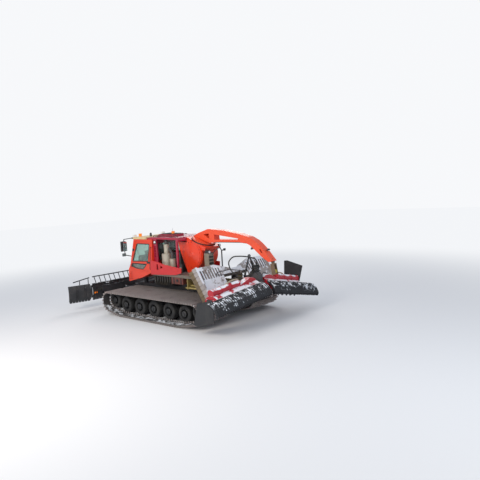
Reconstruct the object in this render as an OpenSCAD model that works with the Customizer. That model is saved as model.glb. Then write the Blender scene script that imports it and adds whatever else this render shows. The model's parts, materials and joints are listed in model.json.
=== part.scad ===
// Snow groomer on two tracks, with a front blade, a rear tiller and a cable winch with its boom.
// Millimetres. The front looks to -Y, the machine's left side is +X, and the ground is z = 0.

/* [Tracks and wheels] */
// length of a track loop over its shoes
track_len = 5200; // [5000:20:5300]
// height of a track loop over its shoes
track_h = 900; // [860:10:940]
// width of a track
track_w = 1490; // [1300:10:1500]
// distance from the machine's middle to a track's inner edge
track_in = 590; // [580:5:620]
// number of shoes on a track
shoes = 92; // [80:2:96]
// height of a shoe over its belt
shoe_h = 75; // [50:5:90]
// thickness of the belt
belt_t = 22; // [14:2:30]
// radius of a road wheel's tyre
road_r = 300; // [260:5:320]
// road wheels a side
road_n = 5; // [4:1:6]
// radius of an axle tube
axle_r = 60; // [45:5:75]

/* [Chassis] */
// half width of the hull between the tracks
hull_x = 560; // [500:10:570]
// top of the hull
hull_top = 1000; // [960:10:1060]
// half width of the deck over the tracks
deck_x = 1000; // [900:10:1100]
// top of the deck behind the cab
deck_z = 1500; // [1460:10:1540]
// thickness of the deck
deck_t = 90; // [60:5:120]

/* [Cab] */
// half width of the cab at its foot
cab_low_x = 980; // [940:5:1010]
// half width of the cab at its roof
cab_top_x = 840; // [800:5:880]
// height of the cab's walls
cab_top = 2710; // [2650:10:2760]
// place of the cab's rear wall
cab_rear = -940; // [-980:5:-900]
// thickness of the cab's walls and doors
wall_t = 45; // [35:5:60]
// gap round a door
door_gap = 6; // [5:1:10]
// thickness of the panes
pane_t = 8; // [6:1:12]
// thickness of the roof
roof_t = 80; // [60:5:110]

/* [Engine bay] */
// rear end of the hood
hood_rear = 380; // [300:10:420]
// half width of the hood
hood_x = 800; // [760:5:840]
// radius of the large silencer
silencer_r = 190; // [150:5:195]
// radius of the intake hoses
hose_r = 42; // [34:2:46]
// number of intake hoses on a side
hoses = 7; // [5:1:7]

/* [Winch] */
// half width of the winch housing
winch_x = 390; // [350:5:410]
// radius of the round cover
cover_r = 480; // [440:5:490]
// tilt of the slewing ring
ring_tilt = 21; // [17:1:22]
// radius of the slewing ring
ring_r = 430; // [380:10:450]
// half width of the boom
boom_x = 130; // [100:5:150]

/* [Blade] */
// half width of the blade between its wings
blade_x = 1650; // [1500:10:1700]
// length of a wing
wing_l = 900; // [840:10:960]
// height of the mouldboard's lower edge
blade_low = 380; // [340:10:420]
// height of the mouldboard
blade_h = 620; // [560:10:680]
// thickness of the mouldboard
blade_t = 40; // [25:5:55]
// height of the bar over the mouldboard
guard_z = 1260; // [1200:10:1320]
// how far the wings stand forward
wing_rest = 14.8; // [10:0.1:18]

/* [Tiller] */
// length of one tiller half past its hinge
tiller_l = 2080; // [1900:10:2150]
// droop of the left half
droop_left = 5; // [3:0.5:7]
// droop of the right half
droop_right = 11.5; // [9:0.5:12]
// radius of the rotor over its tines
rotor_r = 255; // [220:5:265]
// radius of the rotor's tube
rotor_tube_r = 95; // [80:5:130]
// running gap between the tines and the hood
rotor_gap = 35; // [25:5:45]
// how far the finisher stands out past a half
finisher_over = 480; // [350:10:520]
// how much longer the right half's end flap is
flap_more = 40; // [20:1:50]

/* [Hidden] */
// Joint points, shared with the record: [y, z] or [x, y, z]
blade_lift_at = [250 - track_len / 2, 560];
swing_at = [0, blade_lift_at[0] - 970];
blade_tilt_z = 760;
tow_at = [430, blade_lift_at[0] - 185, 850];
tow_t = 30;
tow_r = 18;
deck_bolts = [[850, 1700], [850, 1900]];
deck_bolt_r = 7;
pad_t = 10;
tiller_lift_at = [track_len / 2 - 300, 620];
tiller_arm = [580, 530];
link_rise = 310;
tiller_tilt_z = 1360;
flex_at = [150, 1330];
ring_at = [905, 2645];
fit = 0.3;
eps = 0.01;

// Shared shapes and helpers
function polar(r, a) = [r * cos(a), r * sin(a)];
function arc(c, r, a0, a1, n) = [for (i = [0 : n]) c + polar(r, a0 + (a1 - a0) * i / n)];

// an outline in (y, z) pushed out along x, from x0 to x1
module side_slab(x0, x1) translate([x0, 0, 0]) rotate([90, 0, 90]) linear_extrude(x1 - x0) children();
// the same on both sides of the machine
module both() { children(); mirror([1, 0, 0]) children(); }
// an outline in (x, z) pushed along y, from y0 to y1
module front_slab(y0, y1) translate([0, y1, 0]) rotate([90, 0, 0]) linear_extrude(y1 - y0) children();
// a bar along x
module x_bar(x0, x1, y, z, r) translate([x0, y, z]) rotate([0, 90, 0])
    cylinder(h = x1 - x0, r = r, $fn = 48);
// a bar along y
module y_bar(y0, y1, x, z, r) translate([x, y0, z]) rotate([-90, 0, 0])
    cylinder(h = y1 - y0, r = r, $fn = 48);
// a round bar between two points
module rod(a, b, r) {
  d = b - a;
  l = norm(d);
  translate(a) rotate([0, acos(d[2] / l), atan2(d[1], d[0])]) cylinder(h = l, r = r, $fn = 32);
}

// Tracks and wheels
end_r = track_h / 2 - shoe_h - 60;
end_y = track_len / 2 - shoe_h - end_r;
end_z = track_h - shoe_h - end_r;
road_y = end_y - 660;
belt_r = road_r + belt_t;
// circles that the belt's outer face runs round: [y, z, radius], counter-clockwise from the rear sprocket
rollers = [[end_y, end_z, end_r], [-end_y, end_z, end_r], [-road_y, shoe_h + belt_r, belt_r],
    [road_y, shoe_h + belt_r, belt_r]];
function heading(i) = let(a = rollers[i % 4], b = rollers[(i + 1) % 4], d = [b[0] - a[0], b[1] - a[1]])
  atan2(d[1], d[0]) - acos((a[2] - b[2]) / norm(d));
function turn(i) = let(t = heading(i) - heading(i + 3)) t - 360 * floor(t / 360);
function run(i) = let(a = rollers[i], b = rollers[(i + 1) % 4], d = [b[0] - a[0], b[1] - a[1]])
  sqrt(d[0] * d[0] + d[1] * d[1] - (a[2] - b[2]) * (a[2] - b[2]));
function wrap(i) = rollers[i][2] * turn(i) * PI / 180;
function upto(i) = i == 0 ? 0 : upto(i - 1) + wrap(i - 1) + run(i - 1);
belt_len = upto(4);
// point at distance s along the belt's outer face, pushed out by h
function on_belt(s, h) = let(i = s >= upto(3) ? 3 : s >= upto(2) ? 2 : s >= upto(1) ? 1 :
    0, q = s - upto(i),
  c = [rollers[i][0], rollers[i][1]], r = rollers[i][2], e = heading(i),
  a = q < wrap(i) ? e - (wrap(i) - q) / r * 180 / PI : e, past = max(0, q - wrap(i)))
  c + polar(r + h, a) + past * [-sin(a), cos(a)];
pitch = belt_len / shoes;
module track() {
  n = shoes;
  outer = [for (k = [0 : n - 1]) for (p = [[0.30, 0], [0.40, shoe_h], [0.60, shoe_h], [0.70, 0]])
    on_belt((k + p[0]) * pitch, p[1])];
  inner = [for (k = [n - 1 : -1 : 0]) on_belt((k + 0.5) * pitch, -belt_t)];
  m = len(outer);
  side_slab(track_in, track_in + track_w)
    polygon(concat(outer, inner), paths = [[for (i = [0 : m - 1]) i], [for (i = [0 : n - 1]) m + i]]);
}
module track_left() color("dimgray") track();
module track_right() color("dimgray") mirror([1, 0, 0]) track();

// the wheels stand on the belt's inner face, whose chords lie this much inside the arc
chord = end_r * (1 - cos(pitch / end_r * 90 / PI)) + fit;
tyre_x = [track_in + 330, track_in + 830];
tyre_w = 320;
module wheels() {
  for (i = [0 : road_n - 1]) {
    y = -road_y + 2 * road_y * i / (road_n - 1);
    z = shoe_h + belt_t + road_r;
    union() {
      for (x = tyre_x) x_bar(x, x + tyre_w, y, z, road_r - (i == 0 || i == road_n - 1 ? chord : fit));
      x_bar(hull_x, tyre_x[1] + tyre_w + 40, y, z, axle_r);
      x_bar(tyre_x[1] + tyre_w - 1, tyre_x[1] + tyre_w + 25, y, z, axle_r * 2);
    }
  }
  for (s = [-1, 1]) union() {
    for (x = tyre_x) x_bar(x, x + tyre_w, s * end_y, end_z, end_r - belt_t - chord);
    x_bar(hull_x, tyre_x[1] + tyre_w + 60, s * end_y, end_z, axle_r * 1.4);
  }
}
module wheels_left() color("gray") wheels();
module wheels_right() color("gray") mirror([1, 0, 0]) wheels();

// Hull and its posts
hull_low = 330;
hull_y = track_len / 2 - 150;
head_at_arm = tiller_lift_at + tiller_arm;
notch_x = 300;
module chassis_frame() color("darkgray") {
  difference() {
    union() {
      side_slab(-hull_x, hull_x) polygon([[-hull_y + 300, hull_low], [hull_y - 250, hull_low],
        [hull_y, hull_low + 260], [hull_y, hull_top], [-hull_y + 250, hull_top],
            [-hull_y, hull_low + 330]]);
    }
    // slot for the push frame's pivot tube
    x_bar(-hull_x - 1, hull_x + 1, blade_lift_at[0], blade_lift_at[1], 120);
    translate([-hull_x - 1, -hull_y - 1, blade_lift_at[1] - 120])
        cube([2 * hull_x + 2, hull_y + 1 + blade_lift_at[0], 240]);
    // notch for the tiller's arms and lift cylinders
    translate([-notch_x, tiller_lift_at[0] - 160, hull_low - 1])
        cube([2 * notch_x, 500, hull_top - hull_low + 2]);
  }
  // towing lugs
  for (s = [-1, 1]) difference() {
    side_slab(s * tow_at[0] - tow_t / 2, s * tow_at[0] + tow_t / 2)
        polygon([[tow_at[1] + 305, tow_at[2] + 70], [tow_at[1] + 285, tow_at[2] - 70],
       [tow_at[1] + 15, tow_at[2] - 60],
      [tow_at[1] - 40, tow_at[2]], [tow_at[1] + 15, tow_at[2] + 55]]);
    x_bar(s * tow_at[0] - tow_t, s * tow_at[0] + tow_t, tow_at[1], tow_at[2], tow_r);
  }
  // pivot pins of the push frame, the tiller's arms and link, and their cylinders
  x_bar(-hull_x, hull_x, blade_lift_at[0], blade_lift_at[1], 45 - fit);
  for (s = [-1, 1]) x_bar(s > 0 ? 168 : -notch_x, s > 0 ? notch_x : -168, tiller_lift_at[0],
      tiller_lift_at[1], 35 - fit);
  x_bar(-notch_x, notch_x, tiller_lift_at[0], tiller_lift_at[1] + link_rise, 25 - fit);
  x_bar(-notch_x, notch_x, tiller_cyl_a[1], tiller_cyl_a[2], 22 - fit);
  for (s = [-1, 1]) {
    x_bar(s * blade_cyl_a[0] - 66, s * blade_cyl_a[0] + 66, blade_cyl_a[1], blade_cyl_a[2], 20 - fit);
    for (k = [-1, 1]) side_slab(s * blade_cyl_a[0] + k * 58 - 8, s * blade_cyl_a[0] + k * 58 + 8)
      polygon([for (q = [[-80, 110], [100, 340], [60, 425], [-40, 425], [-90, 240]]) blade_lift_at + q]);
  }
}

// posts on the hull that carry the deck and the cab
module posts() color("dimgray") {
  for (y = [-300, 900, 1800]) for (x = [-1, 1])
    translate([x * 430 - 60, y, hull_top]) cube([120, 160, deck_z - deck_t - hull_top]);
  for (y = [-1950, -1200]) for (x = [-480, 480]) side_slab(x - 50, x + 50)
    polygon([[y, hull_top], [y + 140, hull_top], [y + 140, cab_under(y + 140) - fit],
        [y, cab_under(y) - fit]]);
}

// Cab
cab_foot = 1090;
floor_z = 1650;
roof_rear = -1270;
mirror_y = -2230;
nose = [-2330, 1530];
cab_heel = [-1480, 1290];
cab_foot_rear = 1500;
sill = [-2210, 1760];
// outline in (y, z): nose foot, heel, rear foot, rear top, roof front, window sill, nose
cab_side = [[nose[0] + 50, cab_foot], cab_heel, [cab_rear, cab_foot_rear], [cab_rear, cab_top],
    [-2030, cab_top], sill, nose];
function cab_under(y) = y < cab_heel[0]
  ? cab_foot + (cab_heel[1] - cab_foot) * (y - nose[0] - 50) / (cab_heel[0] - nose[0] - 50)
  : cab_heel[1] + (cab_foot_rear - cab_heel[1]) * (y - cab_heel[0]) / (cab_rear - cab_heel[0]);
function nose_face(z) = nose[0] + 50 - (z - cab_foot) * 50 / (nose[1] - cab_foot);
function cab_face(z) = sill[0] + (z - sill[1]) * (-2030 - sill[0]) / (cab_top - sill[1]);
function cab_x(z) = cab_low_x + (cab_top_x - cab_low_x) * (z - cab_foot) / (cab_top - cab_foot);
wall_lean = atan((cab_low_x - cab_top_x) / (cab_top - cab_foot));
module cab_body(inset) intersection() {
  side_slab(-1200, 1200) polygon(inset == 0 ? cab_side : [[sill[0] - 5, floor_z],
      [cab_rear - inset, floor_z],
    [cab_rear - inset, cab_top], [-2030 + inset, cab_top], [sill[0] + inset, sill[1]]]);
  front_slab(-2500, 0) polygon([[-cab_low_x + inset, cab_foot], [cab_low_x - inset, cab_foot],
    [cab_top_x - inset, cab_top + (inset ? 1 : 0)], [-cab_top_x + inset, cab_top + (inset ? 1 : 0)]]);
}
// door outline, hinge edge first
door_low = 1500;
door_top = 2610;
door_front = -2150;
door_rear = -1020;
wall_gap = 6;
function door_line(g) = [[door_front + g, door_low + g + 85], [door_front + 340, door_low + g],
    [door_rear - g, door_low + g + 50],
  [door_rear - g, door_top - g], [door_front + 250 + g, door_top - g], [door_front + 5 + g, 1790]];
function pane_line(g) = [[door_front + 75 + g, 1870 + g], [door_rear - 145 - g, 1905 + g],
    [door_rear - 75 - g, door_top - 70 - g],
  [door_front + 325 + g, door_top - 70 - g]];
function low_pane_line(g) = [[door_front + 55 + g, 1670 + g], [door_front + 330, 1610 + g],
    [door_rear - 420 - g, 1600 + g],
  [door_rear - 225 - g, 1790 - g], [door_front + 50 + g, 1790 - g]];
module door_cut(g) intersection() {
  side_slab(500, 1200) polygon(door_line(g));
  front_slab(-2500, 0) polygon([[cab_x(1300) - wall_t - wall_gap + g, 1300], [1200, 1300], [1200, 2800],
      [cab_x(2800) - wall_t - wall_gap + g, 2800]]);
}
module cab_wall() difference() { cab_body(0); cab_body(wall_t); }
module windscreen_cut(g) front_slab(-2500, -1850) polygon([[-cab_x(1800) + 90 + g, 1800 + g],
    [cab_x(1800) - 90 - g, 1800 + g],
  [cab_x(cab_top - 70) - 80 - g, cab_top - 70 - g], [-cab_x(cab_top - 70) + 80 + g, cab_top - 70 - g]]);
module rear_window_cut(g) front_slab(cab_rear - 200, cab_rear + 50)
  polygon([[-600 + g, 1900 + g], [600 - g, 1900 + g], [560 - g, 2560 - g], [-560 + g, 2560 - g]]);
module cab_shell() color("orangered") difference() {
  cab_wall();
  // air slots in the nose's cheeks
  both() for (i = [0 : 4]) side_slab(cab_x(1450) - 30, 1200)
    polygon([for (q = [[-2245, 1180], [-2040, 1210], [-2040, 1232], [-2245, 1202]]) q + [0, i * 62]]);
  both() door_cut(0);
  windscreen_cut(0);
  rear_window_cut(0);
}
module cab_roof() color("khaki") side_slab(-cab_top_x - 10, cab_top_x + 10)
  polygon([[-2130, cab_top + 10], [-2040, cab_top + fit], [roof_rear, cab_top + fit],
      [roof_rear, cab_top + roof_t],
    [-2010, cab_top + roof_t], [-2120, cab_top + roof_t - 25]]);
// panes fill their openings in the wall's plane
module wall_skin(t) intersection() {
  cab_wall();
  both() translate([cab_low_x - wall_t / 2, 0, cab_foot]) rotate([0, -wall_lean, 0])
    translate([-t / 2, -3000, -200]) cube([t, 3000, 2400]);
}
module cab_glass() color("lightcyan") {
  intersection() {
    windscreen_cut(0);
    translate([0, sill[0] + wall_t / 2, sill[1]]) rotate([atan((sill[0] + 2030) / (cab_top - sill[1])),
        0, 0])
      translate([-1000, -pane_t / 2, -100]) cube([2000, pane_t, 1200]);
  }
  intersection() {
    rear_window_cut(0);
    translate([-700, cab_rear - wall_t / 2 - pane_t / 2, 1800]) cube([1400, pane_t, 900]);
  }
}
module door() difference() {
  intersection() {
    cab_wall();
    door_cut(door_gap);
  }
  side_slab(500, 1200) polygon(pane_line(0));
  side_slab(500, 1200) polygon(low_pane_line(0));
}
module door_pane() for (k = [0, 1]) intersection() {
  wall_skin(pane_t);
  side_slab(500, 1200) polygon(k == 0 ? pane_line(0) : low_pane_line(0));
}
module door_left() color("orange") door();
module door_right() color("orange") mirror([1, 0, 0]) door();
module door_glass_left() color("paleturquoise") door_pane();
module door_glass_right() color("paleturquoise") mirror([1, 0, 0]) door_pane();

// the cab's floor carries the seats and the console
module cab_interior() color("slategray") {
  translate([-150, -1560, floor_z + fit]) cube([300, 80, 60]);
  for (x = [-330, 330]) {
    translate([x - 90, -1500, floor_z + fit]) cube([180, 220, 180]);
    translate([x - 230, -1620, floor_z + 180]) cube([460, 440, 120]);
    translate([x - 210, -1200, floor_z + 260]) rotate([-8, 0, 0]) cube([420, 100, 620]);
  }
  side_slab(-620, 620) polygon([[-2090, floor_z + fit], [-1960, floor_z + fit], [-1900, floor_z + 330],
      [-1990, floor_z + 420], [-2110, floor_z + 330]]);
}
module mirrors() color("black") both() {
  // foot on the screen's corner post
  side_slab(cab_x(2080) - 110, cab_x(2080) - 30) polygon([[cab_face(2000) - fit, 2000],
      [cab_face(2080) - fit, 2080], [cab_face(2080) - 40, 2080], [cab_face(2000) - 40, 2000]]);
  rod([cab_x(2080) - 70, cab_face(2040) - 20, 2040], [1130, mirror_y, 2130], 16);
  rod([1130, mirror_y, 2110], [1150, mirror_y, 2730], 14);
  rod([1150, mirror_y, 2725], [cab_top_x + 30, -2080, cab_top + 45], 14);
  translate([cab_top_x + 10 + fit, -2110, cab_top + 25]) cube([30, 60, 40]);
  translate([1065, mirror_y - 80, 2270]) cube([190, 75, 380]);
  translate([1085, mirror_y - 60, 2080]) cube([130, 55, 110]);
}
module roof_lamps() color("orange") {
  translate([560, -1960, cab_top + roof_t + fit]) cylinder(h = 110, r = 62, $fn = 32);
  translate([hatch[1] - 220, hatch[2] - 230, hatch_z + fit]) cylinder(h = 105, r = 62, $fn = 32);
}
// lamps on the nose and on the screen's head
module front_lamps() color("ivory") both() {
  side_slab(560, 760) polygon([[nose_face(1420) - fit, 1420], [nose_face(1500) - fit, 1500],
      [nose[0] - 50, 1500], [nose[0] - 50, 1420]]);
  translate([640, -2160, cab_top + roof_t + fit]) cube([150, 90, 70]);
}

// Engine bay and deck
hood_top = 2790;
hood_round = 60;
// raised hatch on the hood: x0, x1, y1, y0
hatch = [-120, 420, -240, -1150];
hatch_z = 2868;
module engine_hood() color("crimson") {
  intersection() {
    side_slab(-hood_x, hood_x) polygon([[roof_rear + 2, cab_top + fit], [roof_rear + 2, hood_top - 25],
        [cab_rear - 60, hood_top], [hood_rear, hood_top],
      [hood_rear + 40, hood_top - 90], [hood_rear + 40, hood_top - 140],
          [hood_rear - 10, hood_top - 140], [hood_rear - 60, hood_top - 70],
      [cab_rear + 75, hood_top - 70], [cab_rear + 75, 2560],
      [cab_rear + 15, 2560], [cab_rear + 15, cab_top + fit]]);
    front_slab(-1400, 600) polygon(concat([[hood_x, 2500]],
        arc([hood_x - hood_round, hood_top - hood_round], hood_round, 0, 90, 6),
      arc([hood_round - hood_x, hood_top - hood_round], hood_round, 90, 180, 6), [[-hood_x, 2500]]));
  }
  // hatch over the fan
  side_slab(hatch[0], hatch[1]) polygon([[hatch[3], hood_top - 50], [hatch[3] + 60, hatch_z - 25],
      [hatch[3] + 160, hatch_z], [hatch[2], hatch_z], [hatch[2], hood_top - 50]]);
  both() difference() {
    side_slab(hood_x - 60, hood_x) polygon([[cab_rear + 15, deck_z + fit],
        [cab_rear + 235, deck_z + fit], [cab_rear + 180, 2720 - fit],
      [cab_rear + 75 + fit, 2720 - fit], [cab_rear + 75 + fit, 2560 - fit], [cab_rear + 15, 2560 - fit]]);
    // louvres
    for (i = [0 : 6]) side_slab(hood_x - 70, hood_x + 10) polygon([for (q = [[45, 2060], [160, 2060],
        [160, 2090], [45, 2090]]) q + [cab_rear, i * 62]]);
  }
  both() side_slab(hood_x - 60, hood_x) polygon([[290, deck_z + fit], [360, deck_z + fit],
      [370, 2650 - fit], [320, 2720 - fit], [300, 2720 - fit]]);
}
module engine_block() color("dimgray") translate([-400, -780, deck_z + fit]) cube([800, 840, 700]);
silencer_at = [600, -430];
module silencers() color("silver") {
  translate([silencer_at[0], silencer_at[1], deck_z + fit]) cylinder(h = 690, r = silencer_r, $fn = 48);
  translate([silencer_at[0], silencer_at[1], deck_z + 680]) cylinder(h = 350, r = 104, $fn = 48);
  translate([650, -80, deck_z + fit]) cylinder(h = 520, r = 112, $fn = 48);
}
// cooler on the right side: a frame with slots
module cooler() color("gray") difference() {
  translate([-730, -700, deck_z + fit]) cube([70, 900, 720]);
  for (i = [0 : 9]) translate([-731, -640, deck_z + 60 + i * 65]) cube([72, 780, 34]);
}
fair_x = deck_x;
module side_fairings() color("red") both() side_slab(fair_x - 40, fair_x) difference() {
  polygon([[cab_rear + 10, fair_low], [hood_rear + 30, fair_low + 60], [hood_rear + 310, fair_low + 130],
      [hood_rear + 330, fair_low + 300],
    [-110, 1830], [-600, 1925], [cab_rear + 40, 1960], [cab_rear + 10, 1900]]);
  polygon([[-590, 1640], [-480, 1640], [-520, 1840], [-575, 1850]]);
  polygon([[-400, 1680], [-250, 1720], [-370, 1800]]);
}
fair_low = 1440;
// side tanks under the deck
module side_tanks() color("darkred") both() translate([hull_x + 70, 130, 1170])
    cube([fair_x - 45 - hull_x - 70, 600, deck_z - deck_t - 1170]);
// intake hoses, each bent down and back
module bay_hoses() color("black") both() for (i = [0 : hoses - 1])
  translate([805, -840 + i * 132, deck_z - deck_t - fit]) rotate([-90, 0, 75]) {
    for (k = [-1, 1]) translate([k * 120, 0, 0]) rotate([-90, 0, 0])
        cylinder(h = 200, r = hose_r, $fn = 16);
    translate([0, 199.9, 0]) rotate_extrude(angle = 180, $fn = 48) translate([120, 0])
        circle(r = hose_r, $fn = 16);
  }
// pipes along the rear deck's edge, with their brackets
module deck_pipes() color("darkkhaki") both() {
  for (q = [[640, 1080], [760, 1130], [880, 1060]]) y_bar(800, 1940, q[0], q[1], 34);
  for (y = [900, 1820]) difference() {
    translate([600, y, 1020]) cube([330, 30, deck_z - deck_t - 1020]);
    for (q = [[640, 1080], [760, 1130], [880, 1060]]) y_bar(y - 1, y + 31, q[0], q[1], 30);
  }
}
deck_rear = track_len / 2 - 600;
module rear_deck() color("gray") difference() {
  union() {
    side_slab(-deck_x, deck_x) polygon([[hood_rear + 340, deck_z - deck_t], [deck_rear, deck_z - deck_t],
        [deck_rear, deck_z], [hood_rear + 340, deck_z]]);
    // narrower between the fairings
    side_slab(-fair_x + 40 + fit, fair_x - 40 - fit)
      polygon([[cab_rear + 10, deck_z - deck_t], [hood_rear + 341, deck_z - deck_t],
          [hood_rear + 341, deck_z], [cab_rear + 10, deck_z]]);
    // pads that a rack is bolted to
    for (s = [-1, 1]) translate([s * deck_bolts[0][0] - 50, deck_bolts[0][1] - 50, deck_z - 1])
      cube([100, deck_bolts[1][1] - deck_bolts[0][1] + 100, pad_t + 1]);
  }
  for (s = [-1, 1]) for (b = deck_bolts) translate([s * b[0], b[1], deck_z - deck_t - 1])
      cylinder(h = deck_t + pad_t + 2, r = deck_bolt_r, $fn = 24);
}
guard_x = 1800;
guard_t = 60;
guard_top = [deck_rear + 80, 1900];
guard_foot = [track_len / 2 + 90, 930];
guard_run = guard_foot - guard_top;
guard_h = norm(guard_run);
// a frame in the guard's plane: x across, y up the slope from its foot, z out to the rear
module on_guard() translate([0, guard_foot[0], guard_foot[1]]) rotate([90 + atan2(guard_run[0],
    -guard_run[1]), 0, 0]) children();
function up_guard(z) = (z - guard_foot[1]) / (guard_top[1] - guard_foot[1]) * guard_h;
function guard_face(z) = guard_foot[0] + (z - guard_foot[1]) / (guard_top[1] - guard_foot[1]) * (guard_top[0] - guard_foot[0]);
module rear_guard() color("lightgray") {
  on_guard() translate([0, 0, -guard_t]) linear_extrude(guard_t) difference() {
    polygon([[-guard_x, 0], [guard_x, 0], [guard_x, up_guard(1890)], [830, guard_h],
        [120, up_guard(1700)], [-120, up_guard(1700)], [-830, guard_h], [-guard_x, up_guard(1890)]]);
    // notch for the tiller's arms
    translate([-620, -1]) square([1240, up_guard(1560) + 1]);
    // openings of the upper lattice
    for (i = [0 : 8]) for (k = [-1, 1]) translate([k * (720 + i * 118) - 31, up_guard(1520)])
        square([62, up_guard(1790) - up_guard(1520)]);
  }
  // box beams at the ends, with their ribs
  for (s = [-1, 1]) on_guard() translate([s * (guard_x - 40) - 40, 0, -guard_t - 119])
      cube([80, up_guard(1880), 120]);
  for (s = [-1, 1]) for (i = [0 : 6]) on_guard() translate([s > 0 ? guard_x - 1 :
      -guard_x - 17, 60 + i * 155, -guard_t - 110]) cube([18, 24, 140]);
  // rails across its rear face
  for (s = [-1, 1]) for (q = [[20, 1600, 1640], [700, 1420, 1380]]) on_guard() translate([s > 0 ? q[0]
      : -q[1], up_guard(q[2]) - 18, -1]) cube([q[1] - q[0], 36, 37]);
  for (s = [-1, 1]) on_guard() translate([s * 740 - 18, up_guard(1380), -1])
      cube([36, up_guard(1640) - up_guard(1380), 36]);
  both() side_slab(640, 700) polygon([[deck_rear + fit, deck_z - deck_t], [guard_face(1640) - 20, 1640],
    [guard_face(1760) - 20, 1760], [guard_face(1830) - 30, 1830], [deck_rear + fit, deck_z]]);
}

// Winch and boom
function on_ring(d, h) = ring_at + d * [cos(ring_tilt), -sin(ring_tilt)] + h * [sin(ring_tilt),
    cos(ring_tilt)];
winch_at = [690, 2160];
winch_r = 510;
module winch_housing() color("firebrick") difference() {
  union() {
    side_slab(-winch_x, winch_x) polygon(concat([on_ring(-490, -40), [hood_rear + 60, 2600], [-20, 2600],
        [60, 2310], [230, 1880], [330, 1670], [400, deck_z + fit],
      [800, deck_z + fit]], arc(winch_at, winch_r, -55, 20, 8), [on_ring(500, -160), on_ring(500, -40)]));
    // round cover with its rim, and the cap in its middle
    x_bar(-winch_x - 40, winch_x + 40, winch_at[0], winch_at[1], cover_r);
    x_bar(-winch_x - 55, winch_x + 55, winch_at[0], winch_at[1], cover_r - 60);
    // base under the slewing ring
    on_ring_place(-150) cylinder(h = 110, r = ring_r + 25, $fn = 64);
  }
  side_slab(-winch_x - 100, winch_x + 100) polygon([on_ring(-900, -40), on_ring(900, -40),
      on_ring(900, 400), on_ring(-900, 400)]);
  // room for the hood's roof
  translate([-hood_x, -300, 2610]) cube([2 * hood_x, 300 + hood_rear + 45, 400]);
}
// valve column behind the drum, with its lamp, and the pipe post beside it
module winch_fittings() color("darkslategray") {
  translate([130, 1260, deck_z + fit]) cube([245, 210, 740]);
  translate([330, 1480, 2270]) rotate([90, 0, 0]) cylinder(h = 60, r = 48, $fn = 32);
  translate([290, 1300, 2235]) cube([80, 130, 80]);
  rod([110, 1850, deck_z + fit], [110, 1850, 2320], 22);
  rod([110, 1850, 2310], [-40, 1830, 2330], 20);
  rod([110, 1850, 2310], [160, 1800, 2480], 16);
  translate([110, 1765, 2470]) cube([90, 60, 70]);
  translate([-90, 1800, 2290]) cube([60, 60, 80]);
}
module on_ring_place(h) translate([0, ring_at[0], ring_at[1]]) rotate([-ring_tilt, 0, 0])
    translate([0, 0, h]) children();
module slew_ring() color("dimgray") on_ring_place(-40 + fit) cylinder(h = 32, r = ring_r, $fn = 64);

head_at = [3950, 2020];
head_tilt = 10;
// a point of the boom's end, d along the end face and h out of it
function on_end(d, h) = head_at + d * [cos(head_tilt), sin(head_tilt)] + h * [-sin(head_tilt),
    cos(head_tilt)];
boom_out = [[530, 2800], [760, 2900], [1250, 3050], [2000, 3000], [2600, 2905], [3080, 2800],
    [3320, 2690], [3480, 2575], [3700, 2380], on_end(62, 0),
  on_end(-82, 0), [3600, 2170], [3300, 2410], [3150, 2520], [3010, 2580], [2680, 2615], [1660, 2600],
      [1330, 2560]];
module boom() color("orangered") {
  difference() {
    side_slab(-boom_x, boom_x) polygon(boom_out);
    side_slab(-boom_x - 1, boom_x + 1) polygon([[1540, 2870], [2660, 2742], [2620, 2685], [1560, 2676]]);
    side_slab(-boom_x - 1, boom_x + 1) polygon([[1020, 2860], [1300, 2900], [1310, 2700]]);
    side_slab(-boom_x - 1, boom_x + 1) polygon([[3520, 2400], [3570, 2430], [3650, 2310], [3600, 2280]]);
    side_slab(-boom_x - 1, boom_x + 1) polygon([on_ring(-900, 22), on_ring(900, 22), on_ring(900, -400),
        on_ring(-900, -400)]);
    at_head() translate([0, 0, -1]) cylinder(h = 91, r = 30, $fn = 32);
  }
  on_ring_place(-7) cylinder(h = 30, r = ring_r - 20, $fn = 64);
}
module at_head() translate([0, head_at[0], head_at[1]]) rotate([head_tilt, 0, 0]) children();
sheave_drop = 330;
module rope_head() color("saddlebrown") at_head() {
  for (s = [-1, 1]) translate([s * 62 - 8, -75, -430]) cube([16, 150, 340]);
  translate([-70, -75, -110]) cube([140, 150, 40]);
  translate([0, 0, -80]) cylinder(h = 80 - fit, r = 55, $fn = 32);
  cylinder(h = 80, r = 30 - fit, $fn = 32);
  x_bar(-60, 60, 0, -sheave_drop, 20 - fit);
  for (y = [-55, 55]) x_bar(-60, 60, y, -400, 12);
}
module rope_sheaves() color("gold") at_head() difference() {
  union() {
    x_bar(-40, 40, 0, -sheave_drop, 50);
    for (x = [-40, 26]) x_bar(x, x + 14, 0, -sheave_drop, 70);
  }
  x_bar(-60, 60, 0, -sheave_drop, 20);
}

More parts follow.
